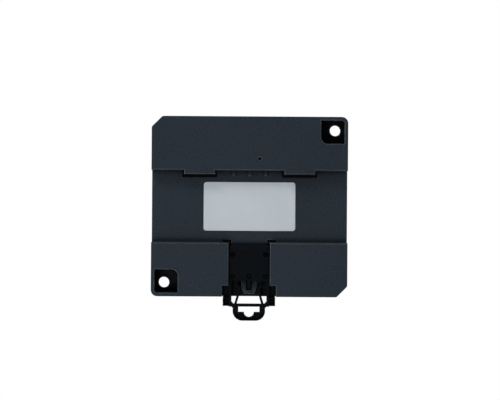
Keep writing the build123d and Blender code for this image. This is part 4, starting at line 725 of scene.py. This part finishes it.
# World: a faint fill for the object, and plain white for the camera and in reflections
worldLook = {"fill": (0.93, 0.96, 1.0), "fillStrength": 0.06}
world = bpy.data.worlds.new("studio")
bpy.context.scene.world = world
world.use_nodes = True
sky = world.node_tree
sky.nodes.clear()
fillInputs = {"Color": (*worldLook["fill"], 1), "Strength": worldLook["fillStrength"]}
fillLight = addNode(sky, "ShaderNodeBackground", fillInputs)
whiteBack = addNode(sky, "ShaderNodeBackground", {"Color": (1, 1, 1, 1), "Strength": 1.0})
path = addNode(sky, "ShaderNodeLightPath")
seen = doMath(sky, "MAXIMUM", path.outputs["Is Camera Ray"], path.outputs["Is Glossy Ray"])
seen = doMath(sky, "MAXIMUM", seen, path.outputs["Is Transmission Ray"])
choose = addNode(sky, "ShaderNodeMixShader")
skyOut = addNode(sky, "ShaderNodeOutputWorld")
sky.links.new(seen, choose.inputs[0])
sky.links.new(fillLight.outputs[0], choose.inputs[1])
sky.links.new(whiteBack.outputs[0], choose.inputs[2])
sky.links.new(choose.outputs[0], skyOut.inputs["Surface"])


# Floor: pale and far below, where it keeps the shadow, and fading to white before its own edge shows
floorLook = {"drop": 0.62, "half": 3.3, "base": (0.86, 0.86, 0.86), "second": (0.9, 0.9, 0.9),
             "tonePerMetre": 3.0, "rough": 0.8, "paleShare": 0.72, "fadeFrom": 0.9, "fadeTo": 2.9}
floorMesh = bpy.data.meshes.new("floor")
h, z = floorLook["half"], -floorLook["drop"]
floorMesh.from_pydata([(-h, -h, z), (h, -h, z), (h, h, z), (-h, h, z)], [], [(0, 1, 2, 3)])
floorFinish, floorTree, floorShader = startFinish("paleFloor")
floorTone = noiseAt(floorTree, objectPlace(floorTree), floorLook["tonePerMetre"], detail=2.0)
floorColour = mixColour(floorTree, floorTone, floorLook["base"], floorLook["second"])
floorTree.links.new(floorColour, floorShader.inputs["Base Color"])
floorShader.inputs["Roughness"].default_value = floorLook["rough"]
floorGlow = addNode(floorTree, "ShaderNodeEmission", {"Color": (1, 1, 1, 1), "Strength": 1.0})
floorPath = addNode(floorTree, "ShaderNodeLightPath")
floorReach = addNode(floorTree, "ShaderNodeVectorMath", operation="LENGTH")
floorTree.links.new(objectPlace(floorTree), floorReach.inputs[0])
floorPale = spread(floorTree, floorReach.outputs["Value"], floorLook["paleShare"], 1.0,
                   floorLook["fadeFrom"], floorLook["fadeTo"])
floorShare = doMath(floorTree, "MULTIPLY", floorPath.outputs["Is Camera Ray"], floorPale)
floorMix = addNode(floorTree, "ShaderNodeMixShader")
floorTree.links.new(floorShare, floorMix.inputs[0])
floorTree.links.new(floorShader.outputs[0], floorMix.inputs[1])
floorTree.links.new(floorGlow.outputs[0], floorMix.inputs[2])
floorTree.links.new(floorMix.outputs[0], floorTree.nodes["Material Output"].inputs["Surface"])
floorMesh.materials.append(floorFinish)
floor = bpy.data.objects.new("floor", floorMesh)
bpy.context.scene.collection.objects.link(floor)
print("studio lit")


# Camera straight behind the hub, as the photograph has it
cameraLook = {"lens": 100.0, "sensor": 36.0, "distance": 0.692, "x": -0.00023, "z": 0.00328,
              "leanDegrees": -0.375}
cameraData = bpy.data.cameras.new("backView")
cameraData.lens = cameraLook["lens"]
cameraData.sensor_width = cameraLook["sensor"]
camera = bpy.data.objects.new("backView", cameraData)
camera.location = (cameraLook["x"], cameraLook["distance"], cameraLook["z"])
camera.rotation_euler = (math.pi / 2, math.radians(cameraLook["leanDegrees"]), math.pi)
bpy.context.scene.collection.objects.link(camera)
bpy.context.scene.camera = camera
bpy.context.scene.view_settings.view_transform = "Standard"

print("done")
